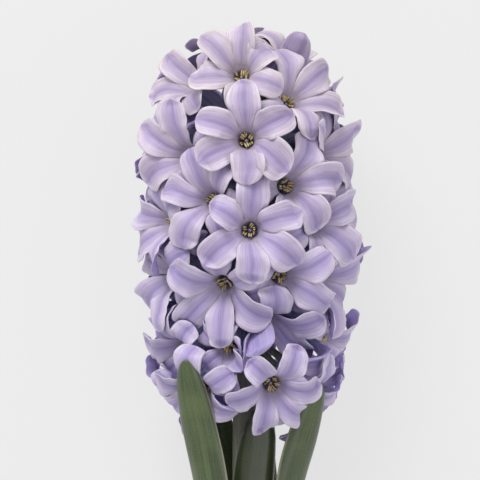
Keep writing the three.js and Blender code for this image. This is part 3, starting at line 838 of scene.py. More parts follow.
@dataclass(frozen=True)
class PetalFinish:
    """Fresh hyacinth tepal: a fleshy, faintly pearly skin that light passes into.

    The eye sees a soft violet zone down the middle with a darker groove, lilac halves, pinkish pale
    margins and fine lengthwise veins. The tube is bluer, and the throat is grey-lilac, with painted shade
    darkening its deep well.
    """

    margin: str = "#e9dff2"
    body: str = "#c8badf"
    streak: str = "#9b8dc8"
    tube: str = "#b9b9e0"
    rib: str = "#8e93ca"
    collar: str = "#bdb3d0"
    # painted shade: the colour that darkens the throat's deep well
    well: str = "#8a809e"
    back: str = "#b9acda"
    young_cast: str = "#fffde6"
    roughness: float = 0.5
    half_width_mm: float = 5.0
    vein_spacing_mm: float = 0.4
    vein_breaks: float = 1.6
    vein_sets: float = 40.0
    cell_mm: float = 0.25

    def build(self) -> Material:
        """Returns the material. It reads across, along, face, tint and youth from the mesh."""
        material, add = new_material("hyacinth_petal")
        keys = ("across", "along", "face", "tint", "youth")
        across, along, face, tint, youth = (
            add("ShaderNodeAttribute", out="Fac", attribute_name=key) for key in keys
        )
        off = add("ShaderNodeMath", [across], operation="ABSOLUTE")
        up = add("ShaderNodeMapRange", {"Value": along, "From Min": -1.0, "From Max": 1.0})
        spacing = self.half_width_mm / self.vein_spacing_mm
        spread = [(across, spacing), (along, self.vein_breaks), (tint, self.vein_sets)]
        veins = vein_noise(add, spread, 3.0)
        # The streak down the groove fades sideways, and frays where the veins are strong
        sideways = [(0.0, 0.95), (0.08, 0.68), (0.28, 0.28), (0.58, 0.0)]
        beside = add("ShaderNodeValToRGB", [off], stops=sideways)
        lengthwise = [(0.0, 1.0), (0.46, 0.9), (0.53, 0.35), (0.66, 0.75), (0.85, 0.95), (1.0, 0.8)]
        streak_run = add("ShaderNodeValToRGB", [up], stops=lengthwise)
        pull = add("ShaderNodeMapRange", [veins, 0.35, 0.65, 0.55, 1.15])
        soft = add("ShaderNodeMath", [beside, streak_run], operation="MULTIPLY")
        streak = add("ShaderNodeMath", [soft, pull], operation="MULTIPLY", use_clamp=True)
        # Margins are paler, and the back is bluer than the face
        margin = add("ShaderNodeValToRGB", [off], stops=[(0.3, 0.0), (0.75, 0.5), (0.92, 0.72), (1.0, 1.0)])
        rgba = {"out": 2, "data_type": "RGBA"}
        blade = add("ShaderNodeMix", {0: margin, 6: self.body, 7: self.margin}, **rgba)
        backed = add("ShaderNodeMix", {0: face, 6: self.back, 7: blade}, **rgba)
        streaked = add("ShaderNodeMix", {0: streak, 6: backed, 7: self.streak}, **rgba)
        # The tube below the mouth is bluer, with a darker rib down each petal's line
        ribbed = add("ShaderNodeMix", {0: streak, 6: self.tube, 7: self.rib}, **rgba)
        below = add("ShaderNodeValToRGB", [up], stops=[(0.40, 1.0), (0.56, 0.0)])
        tubed = add("ShaderNodeMix", {0: below, 6: streaked, 7: ribbed}, **rgba)
        # The face side: a grey-white collar round the throat, and painted shade that darkens the well deep in
        # it
        collar = add("ShaderNodeValToRGB", [up], stops=[(0.42, 1.0), (0.52, 0.75), (0.64, 0.0)])
        collared = add("ShaderNodeMix", {0: collar, 6: streaked, 7: self.collar}, **rgba)
        # painted shade: this mask darkens the face side deep in the tube
        well = add("ShaderNodeValToRGB", [up], stops=[(0.40, 1.0), (0.5, 0.0)])
        with_painted_well_shade = add("ShaderNodeMix", {0: well, 6: collared, 7: self.well}, **rgba)
        both = add("ShaderNodeMix", {0: face, 6: tubed, 7: with_painted_well_shade}, **rgba)
        # Florets fade from bluer at the head's foot to greyer and pinker at its top
        faded = add("ShaderNodeMix", {0: youth, 6: both, 7: self.young_cast}, blend_type="MULTIPLY", **rgba)
        # Veins, skin cells and each petal's own tint shift the brightness a little
        where = add("ShaderNodeTexCoord", out="Object")
        scale = 1 / (self.cell_mm * MM)
        cells = add("ShaderNodeTexNoise", {"Vector": where, "Scale": scale, "Detail": 2.0, "Roughness": 0.7})
        bright = add("ShaderNodeMapRange", [veins, 0.36, 0.64, 0.82, 1.08])
        grain = add("ShaderNodeMapRange", [cells, 0.3, 0.7, 0.95, 1.04])
        shade = add("ShaderNodeMapRange", {"Value": tint, "To Min": 0.92, "To Max": 1.05})
        light = add("ShaderNodeMath", [bright, grain], operation="MULTIPLY")
        lighter = add("ShaderNodeMath", [light, shade], operation="MULTIPLY")
        coloured = add("ShaderNodeVectorMath", {0: faded, "Scale": lighter}, operation="SCALE")
        height = add("ShaderNodeMath", [cells, 0.35, veins], operation="MULTIPLY_ADD")
        skin = {
            "Base Color": coloured,
            "Normal": add("ShaderNodeBump", {"Strength": 0.5, "Distance": 0.00012, "Height": height}),
            "Roughness": self.roughness,
            "Subsurface Weight": 0.35,
            "Subsurface Radius": (0.8, 0.6, 1.0),
            "Subsurface Scale": 0.0012,
            "Specular IOR Level": 0.35,
            "Sheen Weight": 0.12,
            "Sheen Roughness": 0.4,
        }
        return set_skin(material, skin)


@dataclass(frozen=True)
class Florets:
    """The florets' fine meshes: a six-ribbed tube whose wall runs out into six fleshy petals."""

    rule: PetalRule
    plant: PlantFrame
    material: Material
    # How far petals leave their solids' form, and how the room for that is found
    clearance: float = 0.6
    near: float = 50.0
    table_size: float = 0.5
    easing_rows: int = 2
    steps_back: int = 5
    # The midline: it sweeps aside and curls back, and ends a little sooner at the head's ends
    sweep: float = 2.6
    sweep_run: Run = (0.1, 1.0)
    curl: float = -2.6
    curl_change: float = 2.4
    low_curl: float = -3.0
    curl_run: Run = (0.35, 1.1)
    shown_length: float = 0.93
    end_loss: float = 0.12
    head_foot: Run = (0.0, 0.3)
    head_top: Run = (0.8, 1.0)
    # The width
    fullness: float = 1.2
    fullness_change: float = 0.1
    inner_loss: float = 0.08
    low_loss: float = 0.26
    full_run: Run = (0.05, 0.35)
    width_wave: float = 0.03
    width_waves: float = 9.0
    outline: tuple[Run, ...] = (
        (0.0, 0.205), (0.1, 0.265), (0.22, 0.36), (0.4, 0.465), (0.58, 0.515), (0.72, 0.515), (0.82, 0.475),
        (0.89, 0.395), (0.94, 0.28), (0.97, 0.165), (0.99, 0.08), (1.0, 0.0),
    )
    # The cross-section: two swollen halves beside a groove, with a rib on the back and rounded edges
    wall: float = 0.8
    wall_run: Run = (0.0, 0.14)
    groove: float = 0.4
    groove_width: float = 0.15
    groove_run: Run = (0.1, 0.5)
    bulge: float = 0.5
    side_bulge: float = 1.1
    end_bulge: float = 0.6
    back_rib: float = 0.42
    rib_width: float = 0.2
    rib_loss: float = 0.6
    edge_half: float = 0.26
    tip_thinning: float = 0.75
    tip_run: Run = (0.8, 1.0)
    # How the margins rise: boat, hood, lean, waves and roll, and the hooked, pleated tip
    edge_rise: tuple[Run, ...] = ((0, 0.55), (0.25, 0.6), (0.6, -0.3), (0.85, -0.55), (1, 0.1))
    boat: float = 2.3
    boat_change: float = 2.0
    boat_run: Run = (0.2, 0.62)
    hood: float = 1.5
    hood_change: float = 0.6
    hood_run: Run = (0.66, 0.92)
    edge_lean: float = 1.2
    edge_turn: float = 34.0
    turn_run: Run = (0.3, 1.0)
    edge_wave: float = 0.85
    long_waves: float = 1.7
    short_waves: float = 4.3
    short_wave_share: float = 0.45
    wave_run: Run = (0.15, 0.55)
    roll: float = 0.9
    roll_start: float = 0.62
    most_raised: float = 3.5
    widest: float = 0.6
    pleat: float = 0.2
    pleats: float = 9.5
    pleat_run: Run = (0.68, 0.9)
    pleat_end: Run = (0.93, 1.0)
    hook: float = 1.7
    hook_change: float = 1.2
    hook_run: Run = (0.84, 1.0)
    # The mesh: columns across half a petal, rows along it, and the tube outside and inside
    columns: tuple[float, ...] = (0, 0.09, 0.19, 0.33, 0.5, 0.67, 0.83, 0.94, 1)
    rows: int = 26
    row_crowding: float = 1.35
    rib_depth: float = 0.05
    rib_fade: float = 2.0
    well_foot: float = 0.5
    tube_out: tuple[Run, ...] = (
        (0.0, 1.0), (0.35, 1.7), (1.4, 2.9), (3.4, 3.66), (6.0, 3.8), (9.0, 3.78), (11.4, 4.05), (13.0, 4.5),
    )
    tube_in: tuple[Run, ...] = ((6.0, 1.1), (7.6, 1.9), (9.6, 2.3), (11.2, 2.65), (12.2, 3.1), (12.8, 3.65))
    # The numbers that the material reads
    youth_power: float = 2.4
    edge_face: float = 0.6
    petal_tint: float = 0.35
    floret_tint: float = 0.15

    def across(self) -> Array:
        """Returns the columns' places across a petal, from -1 at its left edge to 1 at its right."""
        side = np.array(self.columns[1:])
        return np.concatenate([-side[::-1], [0], side])

    def along(self) -> Array:
        """Returns the rows' places along a petal, closer together near its tip, without the mouth."""
        s = np.arange(1, self.rows + 1) / self.rows
        return 1 - (1 - s) ** self.row_crowding

    def half_width(self, t: Array) -> Array:
        """Returns half of the petal's width at t as a share of its full width."""
        at, half = np.array(self.outline).T
        slopes = np.gradient(half, at)
        n = np.clip(np.searchsorted(at, t, side="right") - 1, 0, len(at) - 2)
        run = at[n + 1] - at[n]
        s = (t - at[n]) / run
        smooth = (
            (2 * s**3 - 3 * s**2 + 1) * half[n]
            + (s**3 - 2 * s**2 + s) * run * slopes[n]
            + (3 * s**2 - 2 * s**3) * half[n + 1]
            + (s**3 - s**2) * run * slopes[n + 1]
        )
        straight_stretches = 4
        return np.where(n >= len(at) - straight_stretches, np.interp(t, at, half), smooth)

    def rise(self, f: Floret, petal: Petal) -> Array:
        """Finds how far each point's middle stands off the petal's plain form.

        Args:
            f: The floret.
            petal: The petal.

        Returns:
            The rise out of the face, row by row.
        """
        t, v = self.along()[:, None], self.across()[None]
        pull = partial(draw, f.index, petal.k)
        opened = smoothstep(*self.boat_run, t)
        boat = (self.boat + self.boat_change * pull(Draw.BOAT)) * opened
        boat += self.hood * (1 + self.hood_change * pull(Draw.HOOD)) * smoothstep(*self.hood_run, t)
        lean = self.edge_lean * pull(Draw.EDGE_LEAN) * opened * v * np.abs(v)
        phase = self.wave_phase(pull, v)
        wave = np.sin(2 * math.pi * self.long_waves * t + phase)
        wave = wave + self.short_wave_share * np.sin(2 * math.pi * self.short_waves * t + 2 * phase)
        wave = wave * self.edge_wave * np.abs(v) ** 3 * smoothstep(*self.wave_run, t)
        near_edge = smoothstep(self.roll_start, 1.0, np.abs(v))
        rolled = self.roll * (1 + pull(Draw.MARGIN_ROLL)) * near_edge * opened
        broad = (self.half_width(t) / self.half_width(self.widest)) ** 2
        raised = (boat * v**2 + lean + wave + rolled) * broad
        folds = self.pleat * np.cos(self.pleats * v + pull(Draw.FOLDS)) * smoothstep(*self.pleat_run, t)
        folds = folds * (1 - smoothstep(*self.pleat_end, t)) * (1 - v**4)
        hook = (self.hook + self.hook_change * pull(Draw.HOOK)) * smoothstep(*self.hook_run, t) ** 2
        return self.most_raised * np.tanh(raised / self.most_raised) + folds + hook

    def wave_phase(self, pull: Callable[[int], float], v: Array) -> Array:
        """Returns where the waves of the left and of the right margin start."""
        return math.pi * np.where(v < 0, pull(Draw.LEFT_WAVE), pull(Draw.RIGHT_WAVE))

    def thickness(self) -> tuple[Array, Array]:
        """Returns how thick a petal is before its middle and behind it, row by row."""
        t, v = self.along()[:, None], self.across()[None]
        grown = smoothstep(*self.wall_run, t)
        near_tip = 1 - self.tip_thinning * smoothstep(*self.tip_run, t)
        edge = self.edge_half * np.sqrt(np.clip(1 - v**2, 0, 1))
        lengthwise = self.end_bulge + (1 - self.end_bulge) * np.sin(math.pi * t)
        halves = self.bulge * (1 - v**2) * (1 + self.side_bulge * v**2) * lengthwise
        deepened = 0.5 + 0.5 * smoothstep(*self.groove_run, t)
        groove = self.groove * np.exp(-((v / self.groove_width) ** 2)) * deepened
        rib = self.back_rib * np.exp(-((v / self.rib_width) ** 2)) * (1 - self.rib_loss * t)
        front, behind = (halves - groove + edge) * near_tip, (rib + edge) * near_tip
        return tuple(self.wall / 2 + (side - self.wall / 2) * grown for side in (front, behind))

    def surface(self, f: Floret, petal: Petal, freedom: Array) -> tuple[Array, Array]:
        """Shapes a petal's face and back.

        Args:
            f: The floret.
            petal: The petal.
            freedom: How far each row leaves its solid's plain form, from 0 to 1.

        Returns:
            Points of the face and of the back, row by row.
        """
        pull, t, v = partial(draw, f.index, petal.k), self.along(), self.across()
        low, high = 1 - float(smoothstep(*self.head_foot, f.u)), float(smoothstep(*self.head_top, f.u))
        shown = t * (self.shown_length - self.end_loss * max(low, high / 2))
        at = self.rule.midline(f, petal, shown)
        _, level_face, level_across = self.rule.directions(f, petal, shown)
        turned = freedom * math.radians(self.edge_turn) * pull(Draw.EDGE_TURN) * smoothstep(*self.turn_run, t)
        swept = freedom * self.sweep * pull(Draw.SWEEP) * f.size * smoothstep(*self.sweep_run, t)
        curl = self.curl + self.low_curl * low + self.curl_change * pull(Draw.CURL)
        curled = freedom * curl * f.size * smoothstep(*self.curl_run, t)
        at = at + swept[:, None] * level_across + curled[:, None] * level_face
        face, across = mix(level_face, level_across, turned), mix(level_across, -level_face, turned)
        t, v, freedom = t[:, None], v[None], freedom[:, None]
        edge = np.interp(t, *np.array(self.edge_rise).T)
        middle = (edge * v**2 + freedom * self.rise(f, petal)) * f.size
        front, behind = self.thickness()
        inner = self.inner_loss if petal.k % 2 else 0
        full = self.fullness + self.fullness_change * pull(Draw.FULLNESS) - inner
        wider = 1 + freedom * (full - self.low_loss * low - 1) * smoothstep(*self.full_run, t)
        wavy = 1 + self.width_wave * np.sin(self.width_waves * t + self.wave_phase(pull, v))
        half = self.half_width(t) * petal.width * wider * wavy
        base = at[:, None] + (half * v * f.size)[..., None] * across[:, None]
        out = face[:, None]
        return base + (middle + front)[..., None] * out, base + (middle - behind)[..., None] * out

    def ease(self, free: Array) -> Array:
        """Returns the rows' freedom eased along the petal, nowhere more than it was."""
        wide = self.easing_rows
        padded = np.pad(free, 2 * wide, mode="edge")
        lowest = np.array([padded[n : n + 2 * wide + 1].min() for n in range(len(free) + 2 * wide)])
        return np.convolve(lowest, np.full(2 * wide + 1, 1 / (2 * wide + 1)), "valid")

    def freedom(self, f: Floret, petal: Petal, around: list[BVHTree]) -> Array:
        """Finds how far each row of a petal can leave its plain form before it meets another piece.

        Args:
            f: The floret.
            petal: The petal.
            around: The pieces near it.

        Returns:
            A share from 0 to 1 for each row, eased along the petal.
        """
        plain, shaped = (sum(self.surface(f, petal, np.full(self.rows, share))) / 2 for share in (0.0, 1.0))
        free = np.ones(self.rows)
        for row in range(0, self.rows, 2):
            for start, end in zip(plain[row, ::2], shaped[row, ::2]):
                step = Vector(end - start)
                reach = step.length + self.clearance
                hits = (tree.ray_cast(Vector(start), step, reach)[3] for tree in around)
                nearest = min((hit for hit in hits if hit is not None), default=reach)
                free[row] = min(free[row], max(nearest - self.clearance, 0) / max(step.length, 0.01))
        return self.ease(free)

    def step_back(self, f: Floret, petal: Petal, free: Array, around: list[BVHTree]) -> Array:
        """Draws rows back towards their plain form for as long as they cross another piece.

        Args:
            f: The floret.
            petal: The petal.
            free: Each row's freedom.
            around: The pieces near it.

        Returns:
            The rows' freedom with the fewest crossings found.
        """
        columns = 2 * len(self.across())
        ring = [(c, (c + 1) % columns, (c + 1) % columns + columns, c + columns) for c in range(columns)]
        starts = range(0, (self.rows - 1) * columns, columns)
        quads = [tuple(start + corner for corner in quad) for start in starts for quad in ring]
        fewest, best = math.inf, free
        for _ in range(self.steps_back + 1):
            front, rear = self.surface(f, petal, free)
            skin = np.concatenate([front, rear[:, ::-1]], axis=1).reshape(-1, 3)
            tree = BVHTree.FromPolygons(skin.tolist(), quads)
            crossed = [mine // columns for other in around for mine, _ in tree.overlap(other)]
            if len(crossed) < fewest:
                fewest, best = len(crossed), free
            if not crossed:
                break
            rows = np.zeros(self.rows, bool)
            rows[crossed] = True
            rows[1:] |= rows[:-1]
            free = self.ease(np.where(rows, free / 2, free))
        return best

    def ring_rows(self, f: Floret, profile: tuple[Run, ...], ribs: float) -> Array:
        """Shapes the tube's rings.

        Args:
            f: The floret.
            profile: Distances out along the tube with its radii.
            ribs: How deep the grooves between its ribs are, as a share of the radius.

        Returns:
            The rings' points, ring by ring.
        """
        v = self.across()[:-1]
        angles = (f.roll + SIXTH * (np.arange(PETALS)[:, None] + v[None] / 2)).ravel()
        dip = np.tile(np.abs(v) ** 4, PETALS)
        rings = []
        for out, away in profile:
            fade = 1 - smoothstep(TUBE_LENGTH - self.rib_fade, TUBE_LENGTH, out)
            rings.append(f.spot(angles, away * (1 - ribs * dip * fade), out))
        return np.array(rings)

    def faces(self) -> Faces:
        """Returns the faces of one floret; every floret has the same."""
        count = len(self.across()) - 1
        ring = PETALS * count
        outs, ins, rows = len(self.tube_out), len(self.tube_in), self.rows
        start_in = outs * ring
        poles = start_in + ins * ring
        petals = poles + 2
        face_size = (rows - 1) * (count + 1)
        size = face_size + (rows - 1) * (count - 1) + 1

        def around(base: int, row: int, j: int) -> int:
            """Returns point j of a ring of the tube."""
            return base + row * ring + j % ring

        def on_face(k: int, row: int, j: int) -> int:
            """Returns the point at a row and column of petal k's face."""
            if row == 0:
                return around(start_in, ins - 1, k * count + j)
            if row == rows:
                return petals + (k + 1) * size - 1
            return petals + k * size + (row - 1) * (count + 1) + j

        def on_back(k: int, row: int, j: int) -> int:
            """Returns the point at a row and column of petal k's back."""
            if row == 0:
                return around(0, outs - 1, k * count + j)
            if j in (0, count) or row == rows:
                return on_face(k, row, j)
            return petals + k * size + face_size + (row - 1) * (count - 1) + j - 1

        def square(at: Callable[..., int], part: int, r: int, j: int, back: bool) -> tuple[int, ...]:
            """Returns the face between two rows and two columns, turned over where it is a back."""
            a, b, c, d = at(part, r, j), at(part, r, j + 1), at(part, r + 1, j + 1), at(part, r + 1, j)
            return (b, a, d, c) if back else (a, b, c, d)

        made: Faces = []
        for j in range(ring):
            made.append((poles, around(0, 0, j), around(0, 0, j + 1)))
            made.append((poles + 1, around(start_in, 0, j + 1), around(start_in, 0, j)))
            made += [square(around, 0, r, j, True) for r in range(outs - 1)]
            made += [square(around, start_in, r, j, False) for r in range(ins - 1)]
        for k in range(PETALS):
            for r in range(rows):
                for j in range(count):
                    pair = [square(on_face, k, r, j, False), square(on_back, k, r, j, True)]
                    made += [face[:3] for face in pair] if r == rows - 1 else pair
            made.append((on_face(k, 0, 0), on_face(k, 1, 0), on_back(k, 0, 0)))
            made.append((on_face(k, 1, count), on_face(k, 0, count), on_back(k, 0, count)))
        return made

    def tree(self, mesh: bpy.types.Mesh) -> tuple[BVHTree, Array]:
        """Returns a mesh as a search tree in the plant's frame, with its corners."""
        flat = np.zeros(len(mesh.vertices) * 3)
        mesh.vertices.foreach_get("co", flat)
        corners = self.plant.lift_out(flat.reshape(-1, 3))
        return BVHTree.FromPolygons(corners.tolist(), [tuple(p.vertices) for p in mesh.polygons]), corners

    def shape(
        self, f: Floret, corners: Array, around: list[BVHTree], given: list[Array] | None
    ) -> tuple[Array, dict[str, Array], list[Array]]:
        """Shapes one floret over its solid.

        Args:
            f: The floret.
            corners: The solid's corners in the plant's frame.
            around: The pieces near it.
            given: Each petal's freedom from the first round, or None in that round.

        Returns:
            Its points, its attributes and each petal's freedom.
        """
        parts: list[list[Array]] = []

        def put(points: Array, *numbers: Array | float) -> None:
            """Adds points with their across, along, face and tint."""
            spread = [np.broadcast_to(number, points.shape[:-1]).ravel() for number in numbers]
            parts.append([points.reshape(-1, 3), *spread])

        v, t = self.across(), self.along()
        sides, length = np.tile(v[:-1], PETALS), TUBE_LENGTH
        own = draw(f.index, 0, Draw.FLORET_TINT)
        shade = 0.5 + 0.5 * own
        for profile, ribs, face in ((self.tube_out, self.rib_depth, 0), (self.tube_in, 0.0, 1)):
            out = np.array(profile)[:, :1]
            put(self.ring_rows(f, profile, ribs), sides, out / length - 1, face, shade)
        well = self.tube_in[0][0]
        put(f.spot(0, 0, 0.0), 0, -1, 0, shade)
        put(f.spot(0, 0, well - self.well_foot), 0, well / length - 1, 1, shade)
        freedoms = []
        for k in range(PETALS):
            petal = self.rule.chosen(f, k, corners)
            if given is None:
                freedoms.append(self.freedom(f, petal, around))
            else:
                freedoms.append(self.step_back(f, petal, given[k], around))
            front, rear = self.surface(f, petal, freedoms[k])
            tip = (front[-1, len(v) // 2] + rear[-1, len(v) // 2])[None] / 2
            front, rear = front[:-1], rear[:-1]
            front[:, [0, -1]] = (front[:, [0, -1]] + rear[:, [0, -1]]) / 2
            tint = 0.5 + self.petal_tint * draw(f.index, k, Draw.PETAL_TINT) + self.floret_tint * own
            put(front, v, t[:-1, None], np.where(np.abs(v) == 1, self.edge_face, 1.0), tint)
            put(rear[:, 1:-1], v[1:-1], t[:-1, None], 0, tint)
            put(tip, 0, 1, self.edge_face, tint)
        points, *numbers = (np.concatenate(column) for column in zip(*parts))
        attributes = dict(zip(("across", "along", "face", "tint"), numbers))
        attributes["youth"] = np.full(len(points), f.u**self.youth_power)
        return points, attributes, freedoms

    def build(self, florets: list[Floret], leaves: list[Object]) -> None:
        """Builds every floret's piece in place of its solid.

        The first round lets each petal out as far as rays find room. The second draws back the rows that
        still cross a finished neighbour.

        Args:
            florets: The head's florets.
            leaves: The finished leaves.
        """
        faces = self.faces()
        solids = {name: self.tree(node.data) for name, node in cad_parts.items()}
        trees = {name: tree for name, (tree, _) in solids.items()}
        middles = {f.name: f.spot(0, 0, TUBE_LENGTH)[0] for f in florets}
        flat = self.table_size * np.array([(-1, -1, 0), (1, -1, 0), (1, 1, 0), (-1, 1, 0)])
        table = self.plant.lift_out(flat)
        others = [tree for name, tree in trees.items() if name not in middles]
        others.append(BVHTree.FromPolygons(table.tolist(), [(0, 1, 2, 3)]))
        others += [self.tree(leaf.data)[0] for leaf in leaves]
        shapes = {f.name: (None, None, None) for f in florets}
        for _ in ("let out", "draw back"):
            for f in florets:
                apart = {name: np.linalg.norm(middle - middles[f.name]) for name, middle in middles.items()}
                near = [trees[name] for name, gap in apart.items() if name != f.name and gap < self.near]
                corners = np.unique(np.round(solids[f.name][1], 4), axis=0)
                shapes[f.name] = self.shape(f, corners, others + near, shapes[f.name][2])
                trees[f.name] = BVHTree.FromPolygons(shapes[f.name][0].tolist(), faces)
        for f in florets:
            points, attributes, _ = shapes[f.name]
            piece = add_mesh(f.name + "_bloom", self.plant.place(points), faces, [self.material], attributes)
            keep(piece, Slot.PETAL, f.name)


# Anthers and pistils


@dataclass(frozen=True)
class PollenFinish:
    """Ripe anther: matt, mealy pollen in a cream yellow that turns ochre in patches."""

    ripe: str = "#e0cf92"
    old: str = "#b59a5e"
    patches_per_metre: float = 600.0
    grain_mm: float = 0.12

    def build(self) -> Material:
        """Returns the material."""
        material, add = new_material("anther_pollen")
        where = add("ShaderNodeTexCoord", out="Object")
        patches = add("ShaderNodeTexNoise", {"Vector": where, "Scale": self.patches_per_metre, "Detail": 2.0})
        fine = 1 / (self.grain_mm * MM)
        grains = add("ShaderNodeTexNoise", {"Vector": where, "Scale": fine, "Detail": 1.0})
        skin = {
            "Base Color": add("ShaderNodeValToRGB", [patches], stops=[(0.4, self.ripe), (0.65, self.old)]),
            "Normal": add("ShaderNodeBump", {"Strength": 0.8, "Distance": 0.00008, "Height": grains}),
            "Roughness": 0.85,
        }
        return set_skin(material, skin)


@dataclass(frozen=True)
class FleshFinish:
    """A small fleshy part in one hue with a mottled skin: the anthers' backs, the pistil or a bract."""

    name: str
    light: str
    dark: str
    roughness: float = 0.5
    patch_mm: float = 0.8

    def build(self) -> Material:
        """Returns the material."""
        material, add = new_material(self.name)
        where = add("ShaderNodeTexCoord", out="Object")
        scale = 1 / (self.patch_mm * MM)
        patches = add("ShaderNodeTexNoise", {"Vector": where, "Scale": scale, "Detail": 3.0})
        skin = {
            "Base Color": add("ShaderNodeValToRGB", [patches], stops=[(0.35, self.light), (0.65, self.dark)]),
            "Normal": add("ShaderNodeBump", {"Strength": 0.4, "Distance": 0.0001, "Height": patches}),
            "Roughness": self.roughness,
            "Subsurface Weight": 0.2,
            "Subsurface Scale": 0.001,
        }
        return set_skin(material, skin)


@dataclass(frozen=True)
class Throats:
    """What stands in each floret's throat: six two-lobed anthers and a pistil."""

    plant: PlantFrame
    pollen: Material
    backs: Material
    pistil: Material
    anther_length: float = 2.5
    lobe_width: float = 0.66
    lobe_side: float = 0.56
    back_depth: float = 0.4
    size_change: float = 0.14
    seed: int = 7
    ring_radius: float = 1.7
    radius_change: float = 0.35
    turn_change: float = 0.25
    side_change: float = 0.6
    ring_out: float = 12.3
    ring_step: float = 0.4
    out_change: float = 0.25
    lean_out: float = 34.0
    lean_change: float = 20.0
    pistil_sides: int = 10
    pistil_ends: Run = (5.4, 11.85)
    pistil_profile: tuple[Run, ...] = (
        (5.6, 0.9), (6.6, 1.3), (8.0, 1.3), (9.0, 0.8), (9.8, 0.45), (10.8, 0.4), (11.4, 0.6), (11.8, 0.42),
    )

    def anther_tree(self, sizes: Sizes) -> Tree:
        """Returns the tree that sets a two-lobed anther on every point of its carrier."""
        tree, add, given, metres = new_tree("anthers", sizes)
        lobe = add("GeometryNodeMeshUVSphere", {"Segments": 7, "Rings": 5, "Radius": 0.5})
        width = metres["Lobe width"]
        size = add("ShaderNodeCombineXYZ", [width, width, metres["Anther length"]])
        parts = []
        side = self.lobe_side
        lobes = ((1, -side, self.pollen), (1, side, self.pollen), (0, -self.back_depth, self.backs))
        for axis, share, material in lobes:
            aside = add("ShaderNodeMath", [width, share], operation="MULTIPLY")
            place = add("ShaderNodeCombineXYZ", {axis: aside})
            moved = add("GeometryNodeTransform", {"Geometry": lobe, "Translation": place, "Scale": size})
            parts.append(add("GeometryNodeSetMaterial", {"Geometry": moved, "Material": material}))
        anther = add("GeometryNodeJoinGeometry", [parts])
        most = add("ShaderNodeMath", [1.0, given["Size change"]], operation="ADD")
        return end_tree(tree, set_on_points(add, given, anther, True, most))

    def build_anthers(self, florets: list[Floret]) -> Object:
        """Builds every floret's anthers as one piece.

        Args:
            florets: The head's florets.

        Returns:
            The piece.
        """
        places, ways, inwards = [], [], []
        for f in florets:
            for k in range(PETALS):
                pull = partial(draw, f.index, k)
                angle = f.roll + SIXTH * (k + self.turn_change * pull(Draw.ANTHER_TURN))
                away = self.ring_radius + self.radius_change * pull(Draw.ANTHER_AWAY)
                step = self.ring_step if k % 2 else -self.ring_step
                out = self.ring_out + step + self.out_change * pull(Draw.ANTHER_OUT)
                outward = mix(f.up, f.right, angle + SIXTH * self.side_change * pull(Draw.ANTHER_SIDE))
                lean = math.radians(self.lean_out + self.lean_change * pull(Draw.ANTHER_LEAN))
                places.append(f.spot(angle, away, out)[0])
                ways.append(f.way * math.cos(lean) + outward * math.sin(lean))
                inwards.append(f.way * math.sin(lean) - outward * math.cos(lean))
        carrier = self.plant.carry("anther_places", places, ways, inwards)
        sizes = {
            "Anther length": self.anther_length,
            "Lobe width": self.lobe_width,
            "Size change": self.size_change,
            "Seed": self.seed,
        }
        return finish_nodes("anthers", carrier, self.anther_tree(sizes), sizes)

    def build_pistils(self, florets: list[Floret]) -> Object:
        """Builds every floret's pistil, a rounded ovary with a short style, as one piece.

        Args:
            florets: The head's florets.

        Returns:
            The piece.
        """
        angles = around_circle(self.pistil_sides)
        rows = len(self.pistil_profile)
        points, faces = [], []
        for n, f in enumerate(florets):
            points += [f.spot(angles, away, out) for out, away in self.pistil_profile]
            points += [f.spot(0, 0, end) for end in self.pistil_ends]
            faces += ring_faces(rows, self.pistil_sides, n * (rows * self.pistil_sides + 2))
        return add_mesh("pistils", self.plant.place(np.vstack(points)), faces, [self.pistil])

    def build(self, florets: list[Floret]) -> None:
        """Builds the florets' anthers and pistils."""
        keep(self.build_anthers(florets), Slot.PETAL)
        keep(self.build_pistils(florets), Slot.PETAL)


# Stem, stalks and bracts


@dataclass(frozen=True)
class StalkFinish:
    """Fleshy flower stem: a smooth grey-green skin with lengthwise streaks and a brown-violet flush."""

    green: str = "#6f7a5a"
    pale: str = "#8d9374"
    flush: str = "#6e5f66"
    streak_mm: float = 0.9
    streaks_per_metre_up: float = 40.0
    patches_per_metre: float = 90.0

    def build(self) -> Material:
        """Returns the material. It reads along and around from the mesh."""
        material, add = new_material("flower_stem")
        keys = ("along", "around")
        along, around = (add("ShaderNodeAttribute", out="Fac", attribute_name=key) for key in keys)
        where = add("ShaderNodeTexCoord", out="Object")
        fine = 1 / (self.streak_mm * MM)
        scale = (fine, self.streaks_per_metre_up, fine)
        stretched = add("ShaderNodeMapping", {"Vector": where, "Scale": scale})
        streaks = add("ShaderNodeTexNoise", {"Vector": stretched, "Scale": 1.0, "Detail": 3.0})
        patches = add("ShaderNodeTexNoise", {"Vector": where, "Scale": self.patches_per_metre, "Detail": 3.0})
        green = add("ShaderNodeValToRGB", [streaks], stops=[(0.35, self.green), (0.68, self.pale)])
        up = add("ShaderNodeValToRGB", [along], stops=[(0.35, 0.15), (0.62, 0.8), (1.0, 0.5)])
        flushed = add("ShaderNodeMath", [up, patches], operation="MULTIPLY")
        sunny = add("ShaderNodeMath", [around, 0.15, flushed], operation="MULTIPLY_ADD")
        skin = {
            "Base Color": add("ShaderNodeMix", {0: sunny, 6: green, 7: self.flush}, 2, data_type="RGBA"),
            "Normal": add("ShaderNodeBump", {"Strength": 0.35, "Distance": 0.00015, "Height": streaks}),
            "Roughness": 0.42,
            "Subsurface Weight": 0.12,
            "Subsurface Scale": 0.001,
        }
        return set_skin(material, skin)


